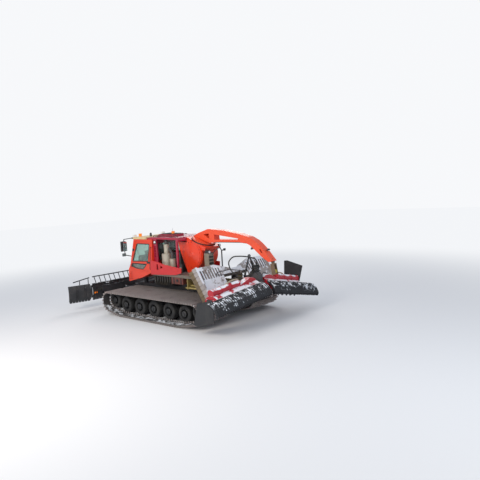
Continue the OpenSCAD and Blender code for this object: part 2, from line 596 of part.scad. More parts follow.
// Blade
sy = swing_at[1];
mould_y = sy - 430;
wing_pin = [blade_x + 50, mould_y - 45];
module push_frame() color("black") {
  difference() {
    union() {
      translate([0, 0, 500]) linear_extrude(120) difference() {
        polygon([[-520, blade_lift_at[0] + 40], [520, blade_lift_at[0] + 40],
            [520, blade_lift_at[0] - 130], [170, sy - 60],
          [-170, sy - 60], [-520, blade_lift_at[0] - 130]]);
        polygon([[-200, blade_lift_at[0] - 150], [200, blade_lift_at[0] - 150], [90, sy + 190],
            [-90, sy + 190]]);
      }
      x_bar(-520, 520, blade_lift_at[0], blade_lift_at[1], 95);
    }
    x_bar(-600, 600, blade_lift_at[0], blade_lift_at[1], 45);
    translate([swing_at[0], swing_at[1], 0]) cylinder(h = 1000, r = 50, $fn = 48);
  }
  for (s = [-1, 1]) {
    // ears and pin for a lift cylinder's rod
    x_bar(s * blade_cyl_b[0] - 66, s * blade_cyl_b[0] + 66, blade_cyl_b[1], blade_cyl_b[2], 20);
    for (k = [-1, 1]) side_slab(s * blade_cyl_b[0] + k * 58 - 8, s * blade_cyl_b[0] + k * 58 + 8)
      polygon([for (q = [[-88, 619], [72, 619], [42, 775], [-43, 775]]) [blade_cyl_b[1] + q[0], q[1]]]);
    // ears and pin for a swing cylinder's barrel
    translate([s * swing_a[0], swing_a[1], swing_a[2] - 54]) cylinder(h = 108, r = 16 - fit, $fn = 32);
    for (k = [-1, 1]) translate([s * swing_a[0] - 40, swing_a[1] - 40, swing_a[2] + k * 48 - 7])
        cube([80, 140, 14]);
    translate([s * swing_a[0] - 40, swing_a[1] + 86, 619]) cube([80, 14, swing_a[2] + 55 - 619]);
  }
}
module swing_block() color("black") {
  translate([swing_at[0], swing_at[1], 420]) cylinder(h = 300, r = 50 - fit, $fn = 48);
  for (z = [464, 626]) translate([0, 0, z]) linear_extrude(30) polygon([[-120, sy + 70], [120, sy + 70],
      [160, sy - 230], [-160, sy - 230]]);
  translate([-330, sy - 255, 460]) cube([660, 28, 460]);
  y_bar(sy - 370, sy - 250, 0, blade_tilt_z, 60 - fit);
  for (s = [-1, 1]) {
    translate([s * swing_b[0], swing_b[1], swing_b[2] - 50]) cylinder(h = 100, r = 14, $fn = 32);
    for (k = [-1, 1]) translate([s * swing_b[0] - 45, sy - 230, swing_b[2] + k * 44 - 7])
        cube([90, 90, 14]);
  }
}
module rib(x0, x1) side_slab(x0, x1) polygon([[mould_y - 70, blade_low + 25],
    [mould_y + 60, blade_low + 120], [mould_y + 60, blade_low + blade_h - 120],
  [mould_y - 60, blade_low + blade_h - 20]]);
// mouldboard: a hollow-faced arc with a heavy lower edge
module mould_line(h) polygon(concat(
  arc([mould_y - 1000, blade_low + h / 2], 1000, -asin(h / 2 / 1000), asin(h / 2 / 1000), 10),
  arc([mould_y - 1000, blade_low + h / 2], 1000 - blade_t, asin(h / 2 / 1000), -asin(h / 2 / 1000), 10)));
module edge_teeth(x0, x1, n) for (i = [0 : n - 1])
  translate([x0 + (x1 - x0) * (i + 0.1) / n, 0, 0]) rotate([90, 0, 90]) linear_extrude((x1 - x0) / n * 0.8)
    polygon([[mould_y - 120, blade_low + 30], [mould_y - 60, blade_low + 30],
        [mould_y - 110, blade_low - 60], [mould_y - 130, blade_low - 60]]);
module guard_bars(x0, x1, n) {
  x_bar(x0, x1, mould_y - 60, guard_z, 22);
  for (i = [0 : n - 1]) rod([x0 + (x1 - x0) * (i + 0.3) / n, mould_y - 70, blade_low + blade_h - 25],
      [x0 + (x1 - x0) * (i + 0.7) / n, mould_y - 60, guard_z], 16);
}
module blade() color("black") difference() {
  union() {
    side_slab(-blade_x, blade_x) mould_line(blade_h);
    edge_teeth(-blade_x, blade_x, 22);
    guard_bars(-blade_x + 30, blade_x - 30, 14);
    side_slab(-1300, 1300) polygon([[mould_y - 25, 640], [mould_y + 165, 640], [mould_y + 165, 880],
        [mould_y - 25, 860]]);
    for (x = [-1, 1]) x_bar(x * 900 - 200, x * 900 + 200, mould_y + 10, 920, 30);
    // ribs behind the mouldboard
    for (x = [-1560, -1180, -800, -420, 420, 800, 1180, 1560]) rib(x - 10, x + 10);
    x_bar(-blade_x, blade_x, mould_y - 10, blade_low + blade_h - 25, 26);
    // wing hinge knuckles
    for (x = [-1, 1]) for (z = [blade_low + 60, blade_low + blade_h - 160]) blade_knuckle(x, z, 90);
  }
  y_bar(sy - 380, sy - 150, 0, blade_tilt_z, 60);
  for (x = [-1, 1]) translate([x * wing_pin[0], wing_pin[1], 0]) cylinder(h = 2000, r = 16, $fn = 32);
}
module blade_knuckle(s, z, h) translate([0, 0, z]) {
  translate([s * wing_pin[0], wing_pin[1], 0]) cylinder(h = h, r = 34, $fn = 32);
  translate([s > 0 ? blade_x - 20 : -wing_pin[0], wing_pin[1] - 28, 0])
      cube([wing_pin[0] - blade_x + 20, 56, h]);
}
module wing_straight() {
  translate([wing_pin[0] + 45, 0, 0]) rotate([90, 0, 90]) linear_extrude(wing_l - 45) mould_line(blade_h);
  translate([wing_pin[0], wing_pin[1], blade_low + 160]) cylinder(h = blade_h - 330, r = 32, $fn = 32);
  translate([wing_pin[0], wing_pin[1] - 24, blade_low + 160]) cube([80, 48, blade_h - 330]);
  translate([wing_pin[0], wing_pin[1], blade_low + 65]) cylinder(h = blade_h - 135, r = 15.8, $fn = 32);
  edge_teeth(wing_pin[0] + 60, wing_pin[0] + wing_l - 20, 7);
  // ribs, and the bar over the wing with its posts
  for (k = [0.3, 0.65]) rib(wing_pin[0] + wing_l * k, wing_pin[0] + wing_l * k + 20);
  side_slab(wing_pin[0] + wing_l - 20, wing_pin[0] + wing_l) mould_line(blade_h);
  rod([wing_pin[0] + 60, mould_y - 60, guard_z - 10],
      [wing_pin[0] + wing_l * 0.78, mould_y - 60, blade_low + blade_h + 130], 20);
  for (k = [0.12, 0.5]) rod([wing_pin[0] + wing_l * k, mould_y - 65, blade_low + blade_h - 25],
      [wing_pin[0] + wing_l * k, mould_y - 60, wing_bar_z(k)], 16);
}
function wing_bar_z(k) = guard_z - 10 + (k * wing_l - 60) / (wing_l * 0.78 - 60) * (blade_low + blade_h + 140 - guard_z);
module wing() translate([wing_pin[0], wing_pin[1], 0]) rotate([0, 0, -wing_rest])
    translate([-wing_pin[0], -wing_pin[1], 0]) wing_straight();
module wing_left() color("black") wing();
module wing_right() color("black") mirror([1, 0, 0]) wing();

// Cylinders: barrel pivot a, rod eye b, pins along x or upright
blade_cyl_a = [250, blade_lift_at[0] + 10, 940];
blade_cyl_b = [250, blade_lift_at[0] - 362, 730];
swing_a = [400, sy + 460, 700];
swing_b = [260, sy - 175, 700];
tiller_cyl_a = [110, tiller_lift_at[0] - 40, 400];
tiller_cyl_b = [110, tiller_lift_at[0] + 138.7, 803.5];
module cross(c, r, w, up) translate(c) rotate(up ? [0, 0, 0] : [0, 90, 0])
    cylinder(h = 2 * w, r = r, center = true, $fn = 32);
module barrel(a, b, len, r, rr, pin, up = false) {
  d = (b - a) / norm(b - a);
  difference() {
    union() {
      rod(a, a + d * len, r);
      cross(a, r * 1.05, 36, up);
    }
    rod(a + d * 60, a + d * (len + 5), rr + fit);
    cross(a, pin, 60, up);
  }
}
module piston_rod(a, b, start, rr, eye, bore, up = false) {
  d = (b - a) / norm(b - a);
  difference() {
    union() {
      rod(a + d * start, b, rr);
      cross(b, eye, 30, up);
    }
    cross(b, bore, 40, up);
  }
}
module blade_barrels() color("black") both() barrel(blade_cyl_a, blade_cyl_b, 300, 45, 24, 20);
module blade_rods() color("silver") both() piston_rod(blade_cyl_a, blade_cyl_b, 145, 24, 38, 25);
module swing_barrel_left() color("black") barrel(swing_a, swing_b, 500, 33, 18, 16, true);
module swing_rod_left() color("silver") piston_rod(swing_a, swing_b, 220, 18, 35, 23, true);
function across(p) = [-p[0], p[1], p[2]];
module swing_barrel_right() color("black") barrel(across(swing_a), across(swing_b), 500, 33, 18, 16, true);
module swing_rod_right() color("silver") piston_rod(across(swing_a), across(swing_b),
    220, 18, 35, 23, true);

// Tiller
// a flat link of half width w between two pins
module link_line(a, b, w) {
  d = (b - a) / norm(b - a);
  n = [-d[1], d[0]] * w;
  polygon([a + n, b + n, b - n, a - n]);
  for (c = [a, b]) translate(c) circle(r = w + 4, $fn = 48);
}
link_low = tiller_lift_at + [0, link_rise];
link_high = head_at_arm + [0, link_rise];
module tiller_arms() color("black") {
  difference() {
    union() {
      for (x = [-225, 225]) side_slab(x - 25, x + 25) link_line(tiller_lift_at, head_at_arm, 60);
      for (s = [-1, 1]) x_bar(s > 0 ? 172 : -250, s > 0 ? 250 : -172, tiller_lift_at[0],
          tiller_lift_at[1], 60);
    }
    x_bar(-600, 600, tiller_lift_at[0], tiller_lift_at[1], 35);
    x_bar(-600, 600, head_at_arm[0], head_at_arm[1], 25);
  }
  x_bar(-205, 205, tiller_cyl_b[1], tiller_cyl_b[2], 16);
}
module tiller_link() color("black") difference() {
  side_slab(-45, 45) link_line(link_low, link_high, 42);
  x_bar(-600, 600, link_low[0], link_low[1], 25);
  x_bar(-600, 600, link_high[0], link_high[1], 25);
}
module tiller_barrels() color("black") both() barrel(tiller_cyl_a, tiller_cyl_b, 248, 42, 24, 22);
module tiller_rods() color("silver") both() piston_rod(tiller_cyl_a, tiller_cyl_b, 198, 24, 46, 34);
head_y = head_at_arm[0] + 65;
module tiller_head() color("black") {
  translate([-300, head_y, 1080]) cube([600, 30, 450]);
  for (s = [-1, 1]) for (x = [225 - 41, 225 + 41]) side_slab(s * x - 8, s * x + 8)
    polygon([[head_y + 5, 1080], [head_y + 5, 1230], [head_at_arm[0] - 30, 1200],
        [head_at_arm[0] - 45, 1120], [head_at_arm[0] - 20, 1090]]);
  for (s = [-1, 1]) side_slab(s * 62 - 8, s * 62 + 8)
    polygon([[head_y + 5, 1400], [head_y + 5, 1530], [link_high[0] - 30, 1510],
        [link_high[0] - 40, 1440], [link_high[0] - 20, 1410]]);
  for (s = [-1, 1]) x_bar(s > 0 ? 176 : -274, s > 0 ? 274 : -176, head_at_arm[0], head_at_arm[1], 25 - fit);
  x_bar(-70, 70, link_high[0], link_high[1], 25 - fit);
  y_bar(head_y + 20, head_y + 130, 0, tiller_tilt_z, 50 - fit);
}
rotor_at = [head_y + 355, 1110];
shell_r = rotor_r + rotor_gap;
hoist_at = [-20, 2150];
// valve box on the mount, and the lifting frame over it
module tiller_frame() color("black") {
  translate([-380, head_y + 5, 1530 + fit]) cube([240, 125, 300]);
  translate([-330, head_y + 68, 1829]) cylinder(h = 60, r = 30, $fn = 24);
  front_slab(head_y, head_y + 34) difference() {
    union() {
      polygon([[215, 1530 + fit], [285, 1530 + fit], [hoist_at[0] + 30, hoist_at[1]],
          [hoist_at[0] - 12, hoist_at[1]]]);
      polygon([[-226, 1800], [-178, 1800], [hoist_at[0] + 14, hoist_at[1] - 5],
          [hoist_at[0] - 32, hoist_at[1] - 5]]);
      translate(hoist_at) circle(r = 58, $fn = 32);
    }
    translate(hoist_at) circle(r = 28, $fn = 32);
  }
}
centre_y = head_y + 36;
module tiller_centre() color("dimgray") difference() {
  union() {
    translate([-100, centre_y, 1210]) cube([200, 60, 330]);
    translate([-100, centre_y + 50, 1390]) cube([200, 400, 170]);
    x_bar(-98, 98, rotor_at[0] - 20, 1530, 100);
    for (s = [-1, 1]) for (y = [rotor_at[0] - 230, rotor_at[0] + 80]) translate([0, y, 0]) {
      translate([s > 0 ? 60 : -flex_at[0], 0, flex_at[1] - 28]) cube([flex_at[0] - 60, 60, 56]);
      y_bar(0, 60, s * flex_at[0], flex_at[1], 28);
    }
    translate([-90, rotor_at[0] - 200, 1300]) cube([180, 330, 100]);
  }
  y_bar(centre_y - 5, centre_y + 150, 0, tiller_tilt_z, 50);
  for (s = [-1, 1]) y_bar(rotor_at[0] - 300, rotor_at[0] + 200, s * flex_at[0], flex_at[1], 14);
}
module flexed(s, a) translate([s * flex_at[0], 0, flex_at[1]]) rotate([0, s * a, 0])
    translate([-s * flex_at[0], 0, -flex_at[1]]) children();
half_x0 = flex_at[0] + 45;
half_x1 = flex_at[0] + tiller_l;
tube_z = 1488;
plate_pin = [half_x1 + 30, 1300];
function rim(a) = rotor_at + polar(shell_r + 12, a);
module half_place() {
  side_slab(half_x0, half_x1) polygon(concat(arc(rotor_at, shell_r + 25, -5, 190, 16),
      arc(rotor_at, shell_r, 190, -5, 16)));
  for (x = [half_x0, half_x1 - 20]) side_slab(x, x + 20) polygon(arc(rotor_at, shell_r + 25, -5, 190, 16));
  x_bar(half_x0 + 780, half_x1 - 10, rotor_at[0] - 20, tube_z, 108);
  // cover beside the middle piece
  front_slab(rotor_at[0] - 130, rotor_at[0] + 90) polygon([[half_x0, 1402], [half_x0 + 10, 1450],
      [half_x0 + 130, 1530], [half_x0 + 300, 1560], [half_x0 + 800, 1440], [half_x0 + 800, 1402]]);
  // flange that holds the finisher
  side_slab(half_x0, half_x1) polygon([rim(38), [fin_y - fit, 1290], [fin_y - fit, 1350], rim(52)]);
  // shaft stubs that the rotor turns on
  x_bar(half_x1 - 60, half_x1, rotor_at[0], rotor_at[1], 30);
  // flex hinge knuckle and pin
  y_bar(rotor_at[0] - 164, rotor_at[0] + 74, flex_at[0], flex_at[1], 26);
  translate([flex_at[0], rotor_at[0] - 164, flex_at[1] - 24]) cube([half_x0 - flex_at[0] + 10, 238, 48]);
  y_bar(rotor_at[0] - 228, rotor_at[0] + 138, flex_at[0], flex_at[1], 13.8);
  // hinge of the side plate
  for (y = [rotor_at[0] - 190, rotor_at[0] + 80]) {
    translate([half_x1 - 5, y, plate_pin[1] - 12]) cube([plate_pin[0] - half_x1 + 5, 30, 24]);
    y_bar(y, y + 30, plate_pin[0], plate_pin[1], 16);
  }
  y_bar(rotor_at[0] - 188, rotor_at[0] + 108, plate_pin[0], plate_pin[1], 8 - fit);
}
module tiller_left() color("crimson") flexed(1, droop_left) half_place();
module tiller_right() color("crimson") flexed(-1, droop_right) mirror([1, 0, 0]) half_place();
module rotor() difference() {
  union() {
    x_bar(half_x0 + 30, half_x1 - 30, rotor_at[0], rotor_at[1], rotor_tube_r);
    for (i = [0 : 11]) translate([half_x0 + 110 + i * (half_x1 - half_x0 - 240) / 11, rotor_at[0],
        rotor_at[1]]) rotate([90, 0, 90])
      rotate([0, 0, i * 20]) linear_extrude(24) polygon([for (k = [0 : 5]) for (p = [[rotor_tube_r, -22],
          [rotor_r, -5], [rotor_r, 5], [rotor_tube_r, 22]])
        polar(p[0], k * 60 + p[1])]);
  }
  x_bar(half_x1 - 70, half_x1, rotor_at[0], rotor_at[1], 30 + fit);
}
module rotor_left() color("gray") flexed(1, droop_left) rotor();
module rotor_right() color("gray") flexed(-1, droop_right) mirror([1, 0, 0]) rotor();
fin_x0 = 110;
fin_y = rotor_at[0] + 300;
// the finisher's outline from its front edge: [y, z]
fin_out = [[0, 1350], [140, 1300], [250, 1205], [330, 1080], [350, 1010], [310, 990], [285, 1050],
    [210, 1160], [120, 1240], [0, 1285]];
module finisher(more) {
  fin_x1 = half_x1 + finisher_over + more;
  side_slab(fin_x0, fin_x1) polygon([for (q = fin_out) [fin_y + q[0], q[1]]]);
  for (i = [0 : 21]) translate([fin_x0 + 20 + i * (fin_x1 - fin_x0 - 60) / 21, 0, 0]) side_slab(0, 22)
    polygon([for (q = [[300, 1040], [346, 1012], [300, 930], [230, 950]]) [fin_y + q[0], q[1]]]);
}
module finisher_left() color("black") flexed(1, droop_left) finisher(0);
module finisher_right() color("black") flexed(-1, droop_right) mirror([1, 0, 0]) finisher(flap_more);
// a side plate's outline from the rotor's axis and its own pin: [y, z]
plate_out = [[-150, 0], [70, 0], [70, 45], [110, 100], [190, 660], [-490, 820], [-620, 800], [-560, 150],
    [-220, 65], [-150, 45]];
plate_fold = 165;
module folded(a) translate([plate_pin[0], 0, plate_pin[1]]) rotate([0, a, 0]) translate([-plate_pin[0],
    0, -plate_pin[1]]) children();
module side_plate() difference() {
  union() {
    side_slab(plate_pin[0] - 14, plate_pin[0] + 14) polygon([for (q = plate_out) [rotor_at[0] + q[0],
        plate_pin[1] + q[1]]]);
    y_bar(rotor_at[0] - 150, rotor_at[0] + 70, plate_pin[0], plate_pin[1], 16);
  }
  y_bar(rotor_at[0] - 300, rotor_at[0] + 200, plate_pin[0], plate_pin[1], 8);
}
module side_plate_left() color("black") flexed(1, droop_left) folded(plate_fold) side_plate();
module side_plate_right() color("black") flexed(-1, droop_right) mirror([1, 0, 0]) side_plate();

chassis_frame();
posts();
track_left();
track_right();
wheels_left();
wheels_right();
cab_shell();
cab_roof();
cab_glass();
cab_interior();
mirrors();
roof_lamps();
engine_hood();
engine_block();
silencers();
side_fairings();
bay_hoses();
rear_deck();
rear_guard();
winch_housing();
slew_ring();
door_left();
door_glass_left();
door_right();
door_glass_right();
boom();
rope_head();
rope_sheaves();
push_frame();
swing_block();
blade();
wing_left();
wing_right();
blade_barrels();
blade_rods();
swing_barrel_left();
swing_rod_left();
swing_barrel_right();
swing_rod_right();
tiller_arms();
tiller_link();
tiller_head();
tiller_barrels();
tiller_rods();
tiller_centre();
tiller_left();
tiller_right();
rotor_left();
rotor_right();
finisher_left();
finisher_right();
side_plate_left();
side_plate_right();
front_lamps();
cooler();
side_tanks();
deck_pipes();
winch_fittings();
tiller_frame();
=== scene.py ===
import json
import math

import bmesh
import bpy
from mathutils import Matrix, Vector


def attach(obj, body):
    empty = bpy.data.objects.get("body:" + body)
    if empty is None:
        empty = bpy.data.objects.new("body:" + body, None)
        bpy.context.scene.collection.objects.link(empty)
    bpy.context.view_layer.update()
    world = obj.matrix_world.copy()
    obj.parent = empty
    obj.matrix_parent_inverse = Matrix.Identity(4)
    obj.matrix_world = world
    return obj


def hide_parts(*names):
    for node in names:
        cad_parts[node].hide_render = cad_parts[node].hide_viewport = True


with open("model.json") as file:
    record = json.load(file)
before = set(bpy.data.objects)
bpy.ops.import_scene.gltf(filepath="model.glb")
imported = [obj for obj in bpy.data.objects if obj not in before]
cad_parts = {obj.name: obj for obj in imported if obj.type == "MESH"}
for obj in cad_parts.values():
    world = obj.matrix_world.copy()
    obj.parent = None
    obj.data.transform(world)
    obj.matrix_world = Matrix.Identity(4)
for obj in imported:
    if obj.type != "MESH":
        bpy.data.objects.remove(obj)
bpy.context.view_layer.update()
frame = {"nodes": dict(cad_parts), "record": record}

nodes = frame["nodes"]


# Camera, fitted to the photograph
def place_camera():
    azimuth, elevation, roll = math.radians(130.87), math.radians(5.07), math.radians(-3.02)
    right = Vector((math.cos(azimuth), math.sin(azimuth), 0))
    level = Vector((math.sin(azimuth), -math.cos(azimuth), 0))
    back = level * math.cos(elevation) + Vector((0, 0, math.sin(elevation)))
    up = back.cross(right)
    across = right * math.cos(roll) + up * math.sin(roll)
    upright = -right * math.sin(roll) + up * math.cos(roll)
    data = bpy.data.cameras.new("camera")
    data.sensor_width = 36
    data.lens = 505.18 / 480 * 36
    data.clip_end = 400
    camera = bpy.data.objects.new("camera", data)
    place = Matrix((across, upright, back)).transposed().to_4x4()
    place.translation = Vector((12.74, 13.64, 4.17))
    camera.matrix_world = place
    bpy.context.scene.collection.objects.link(camera)
    bpy.context.scene.camera = camera


place_camera()


# Shader groups that several materials use
def group(name, inputs, outputs):
    tree = bpy.data.node_groups.new(name, "ShaderNodeTree")
    for label, kind, value in inputs:
        socket = tree.interface.new_socket(name=label, in_out="INPUT", socket_type=kind)
        socket.default_value = value
    for label, kind in outputs:
        tree.interface.new_socket(name=label, in_out="OUTPUT", socket_type=kind)
    return tree, tree.nodes.new("NodeGroupInput"), tree.nodes.new("NodeGroupOutput")


def put(tree, kind, values=None, **settings):
    node = tree.nodes.new(kind)
    for key, value in settings.items():
        setattr(node, key, value)
    for key, value in (values or {}).items():
        socket = node.inputs[key]
        if isinstance(value, bpy.types.NodeSocket):
            tree.links.new(value, socket)
        else:
            socket.default_value = value
    return node


def sums(tree, operation, *values):
    return put(tree, "ShaderNodeMath", dict(enumerate(values)), operation=operation).outputs[0]


def blend_colours(tree, amount, first, second):
    # sockets 6 and 7 are the two colours, 2 the mixed one
    return put(tree, "ShaderNodeMix", {0: amount, 6: first, 7: second}, data_type="RGBA").outputs[2]


def noise(tree, place, scale, detail, rough):
    values = {"Vector": place, "Scale": scale, "Detail": detail, "Roughness": rough}
    return put(tree, "ShaderNodeTexNoise", values).outputs["Fac"]


def spread(tree, value, low, high):
    values = {"Value": value, "From Min": low, "From Max": high}
    return put(tree, "ShaderNodeMapRange", values, interpolation_type="SMOOTHSTEP").outputs["Result"]


COLOUR, NUMBER = "NodeSocketColor", "NodeSocketFloat"
SURFACE = [("Color", COLOUR), ("Roughness", NUMBER), ("Height", NUMBER)]


def make_weathering():
    # grime in patches with grainy edges
    inputs = [("Color", COLOUR, (0.5, 0.5, 0.5, 1)), ("Grime", COLOUR, (0.1, 0.09, 0.08, 1)),
              ("Amount", NUMBER, 0.3), ("Scale", NUMBER, 3.0), ("Grain", NUMBER, 60.0), ("Gloss", NUMBER, 0.4)]
    tree, given, result = group("weathering", inputs, SURFACE)
    place = put(tree, "ShaderNodeTexCoord").outputs["Object"]
    patches = noise(tree, place, given.outputs["Scale"], 8.0, 0.65)
    grain = noise(tree, place, given.outputs["Grain"], 3.0, 0.6)
    rough_edge = sums(tree, "MULTIPLY", sums(tree, "SUBTRACT", grain, 0.5), 0.35)
    mask = spread(tree, sums(tree, "ADD", patches, rough_edge), 0.45, 0.75)
    amount = sums(tree, "MULTIPLY", mask, given.outputs["Amount"])
    colour = blend_colours(tree, amount, given.outputs["Color"], given.outputs["Grime"])
    duller = sums(tree, "ADD", given.outputs["Gloss"], sums(tree, "MULTIPLY", amount, 0.6))
    height = sums(tree, "ADD", sums(tree, "MULTIPLY", grain, 0.4), sums(tree, "MULTIPLY", patches, 0.6))
    tree.links.new(colour, result.inputs["Color"])
    tree.links.new(duller, result.inputs["Roughness"])
    tree.links.new(height, result.inputs["Height"])
    return tree


def make_snow_cover():
    # snow that lies on faces that look up
    inputs = [("Color", COLOUR, (0.5, 0.5, 0.5, 1)), ("Roughness", NUMBER, 0.5), ("Height", NUMBER, 0.0),
              ("Amount", NUMBER, 0.4), ("Scale", NUMBER, 5.0)]
    tree, given, result = group("snow_cover", inputs, SURFACE)
    coords = put(tree, "ShaderNodeTexCoord")
    up = put(tree, "ShaderNodeSeparateXYZ", {"Vector": coords.outputs["Normal"]}).outputs["Z"]
    lumps = noise(tree, coords.outputs["Object"], given.outputs["Scale"], 9.0, 0.7)
    lift = sums(tree, "MULTIPLY", spread(tree, up, 0.05, 0.75), given.outputs["Amount"])
    mask = spread(tree, sums(tree, "ADD", lumps, lift), 0.82, 0.90)
    colour = blend_colours(tree, mask, given.outputs["Color"], (0.82, 0.86, 0.92, 1))
    bare = sums(tree, "MULTIPLY", given.outputs["Roughness"], sums(tree, "SUBTRACT", 1.0, mask))
    rough = sums(tree, "ADD", bare, sums(tree, "MULTIPLY", mask, 0.85))
    thick = sums(tree, "MULTIPLY", mask, sums(tree, "ADD", 1.0, lumps))
    tree.links.new(colour, result.inputs["Color"])
    tree.links.new(rough, result.inputs["Roughness"])
    tree.links.new(sums(tree, "ADD", given.outputs["Height"], thick), result.inputs["Height"])
    return tree


WEATHERING = make_weathering()
SNOW_COVER = make_snow_cover()


def finish_material(name, colour, gloss=0.4, metal=0.0, grime=0.3, grime_colour=(0.10, 0.09, 0.08),
                    scale=3.0, grain=60.0, bump=0.15, snow=0.0, snow_scale=5.0, coat=0.0, bump_step=0.002):
    material = bpy.data.materials.new(name)
    material.use_nodes = True
    tree = material.node_tree
    shader = tree.nodes["Principled BSDF"]
    shader.inputs["Metallic"].default_value = metal
    shader.inputs["Coat Weight"].default_value = coat
    shader.inputs["Coat Roughness"].default_value = 0.12
    aged = put(tree, "ShaderNodeGroup", node_tree=WEATHERING)
    aged.inputs["Color"].default_value = (*colour, 1)
    aged.inputs["Grime"].default_value = (*grime_colour, 1)
    for key, value in (("Amount", grime), ("Scale", scale), ("Grain", grain), ("Gloss", gloss)):
        aged.inputs[key].default_value = value
    last = aged
    if snow > 0:
        cover = put(tree, "ShaderNodeGroup", node_tree=SNOW_COVER)
        for key in ("Color", "Roughness", "Height"):
            tree.links.new(aged.outputs[key], cover.inputs[key])
        cover.inputs["Amount"].default_value = snow
        cover.inputs["Scale"].default_value = snow_scale
        last = cover
    tree.links.new(last.outputs["Color"], shader.inputs["Base Color"])
    tree.links.new(last.outputs["Roughness"], shader.inputs["Roughness"])
    values = {"Strength": bump, "Distance": bump_step, "Height": last.outputs["Height"]}
    relief = put(tree, "ShaderNodeBump", values)
    tree.links.new(relief.outputs["Normal"], shader.inputs["Normal"])
    return material


def glass_material(name, colour):
    # clear glass with smeared, duller patches
    material = bpy.data.materials.new(name)
    material.use_nodes = True
    tree = material.node_tree
    shader = tree.nodes["Principled BSDF"]
    shader.inputs["Transmission Weight"].default_value = 0.85
    shader.inputs["IOR"].default_value = 1.45
    place = put(tree, "ShaderNodeTexCoord").outputs["Object"]
    mask = spread(tree, noise(tree, place, 4.0, 6.0, 0.7), 0.45, 0.8)
    smeared = (*[c * 0.8 + 0.1 for c in colour], 1)
    tree.links.new(blend_colours(tree, mask, (*colour, 1), smeared), shader.inputs["Base Color"])
    tree.links.new(sums(tree, "ADD", 0.04, sums(tree, "MULTIPLY", mask, 0.12)), shader.inputs["Roughness"])
    return material


orange_paint = finish_material("orange_paint", (0.80, 0.050, 0.014), 0.32, grime=0.22,
                               grime_colour=(0.34, 0.03, 0.015), coat=0.25, bump=0.04, snow=0.06,
                               snow_scale=7)
boom_paint = finish_material("boom_paint", (0.86, 0.085, 0.026), 0.36, grime=0.25,
                             grime_colour=(0.35, 0.09, 0.04), coat=0.12, bump=0.05)
crimson_paint = finish_material("crimson_paint", (0.40, 0.012, 0.045), 0.30, grime=0.25,
                                grime_colour=(0.12, 0.02, 0.03), coat=0.35, bump=0.05, snow=0.12,
                                snow_scale=6)
tiller_red = finish_material("tiller_red", (0.46, 0.008, 0.022), 0.36, grime=0.25,
                             grime_colour=(0.10, 0.015, 0.02), coat=0.2, bump=0.05, snow=0.40,
                             snow_scale=3.2)
fairing_red = finish_material("fairing_red", (0.62, 0.018, 0.020), 0.34, grime=0.3,
                              grime_colour=(0.20, 0.015, 0.02), coat=0.25, bump=0.05, snow=0.10,
                              snow_scale=6)
tank_brown = finish_material("tank_brown", (0.16, 0.045, 0.035), 0.45, grime=0.5,
                             grime_colour=(0.07, 0.045, 0.035), bump=0.06, snow=0.12)
cream_paint = finish_material("cream_paint", (0.72, 0.56, 0.30), 0.42, grime=0.3,
                              grime_colour=(0.30, 0.22, 0.12), bump=0.05, snow=0.15)
black_steel = finish_material("black_steel", (0.020, 0.021, 0.024), 0.42, grime=0.35,
                              grime_colour=(0.09, 0.085, 0.08), bump=0.12, snow=0.16, snow_scale=6)
blade_steel = finish_material("blade_steel", (0.022, 0.023, 0.026), 0.45, grime=0.5,
                              grime_colour=(0.11, 0.10, 0.10), bump=0.15, snow=0.30, snow_scale=3.5)
shoe_metal = finish_material("shoe_metal", (0.40, 0.355, 0.34), 0.55, metal=0.15, grime=0.5,
                             grime_colour=(0.19, 0.165, 0.155), bump=0.2, snow=0.24, snow_scale=9)
belt_rubber = finish_material("belt_rubber", (0.045, 0.042, 0.042), 0.8, grime=0.6,
                              grime_colour=(0.16, 0.145, 0.14), bump=0.2, snow=0.34, snow_scale=7)
tyre_rubber = finish_material("tyre_rubber", (0.022, 0.022, 0.023), 0.75, grime=0.5,
                              grime_colour=(0.10, 0.095, 0.09), bump=0.2, snow=0.15)
guard_steel = finish_material("guard_steel", (0.36, 0.33, 0.32), 0.55, metal=0.1, grime=0.5,
                              grime_colour=(0.16, 0.13, 0.12), bump=0.2, snow=0.50, snow_scale=2.6,
                              bump_step=0.012)
deck_steel = finish_material("deck_steel", (0.20, 0.17, 0.14), 0.55, metal=0.2, grime=0.6,
                             grime_colour=(0.07, 0.06, 0.05), bump=0.2, snow=0.25, snow_scale=4)
silver_metal = finish_material("silver_metal", (0.50, 0.46, 0.38), 0.42, metal=0.45, grime=0.5,
                               grime_colour=(0.22, 0.17, 0.11), bump=0.08)
chrome = finish_material("chrome", (0.80, 0.80, 0.82), 0.12, metal=1.0, grime=0.1, bump=0.02)
iron = finish_material("iron", (0.09, 0.09, 0.095), 0.55, metal=0.3, grime=0.6,
                       grime_colour=(0.05, 0.045, 0.04), bump=0.3, grain=120)
hose_black = finish_material("hose_black", (0.020, 0.019, 0.018), 0.38, grime=0.35,
                             grime_colour=(0.14, 0.11, 0.06), coat=0.2, bump=0.1)
plastic_black = finish_material("plastic_black", (0.03, 0.031, 0.033), 0.5, grime=0.3, bump=0.15, grain=200)
head_steel = finish_material("head_steel", (0.20, 0.14, 0.09), 0.6, metal=0.3, grime=0.7,
                             grime_colour=(0.08, 0.05, 0.03), bump=0.3)
rope_yellow = finish_material("rope_yellow", (0.62, 0.48, 0.08), 0.5, grime=0.4,
                              grime_colour=(0.2, 0.15, 0.05), bump=0.15)
finisher_rubber = finish_material("finisher_rubber", (0.012, 0.013, 0.017), 0.55, grime=0.35,
                                  grime_colour=(0.08, 0.085, 0.10), bump=0.25, snow=0.34, snow_scale=5.5,
                                  bump_step=0.008)
cab_glass = glass_material("cab_glass", (0.62, 0.80, 0.74))


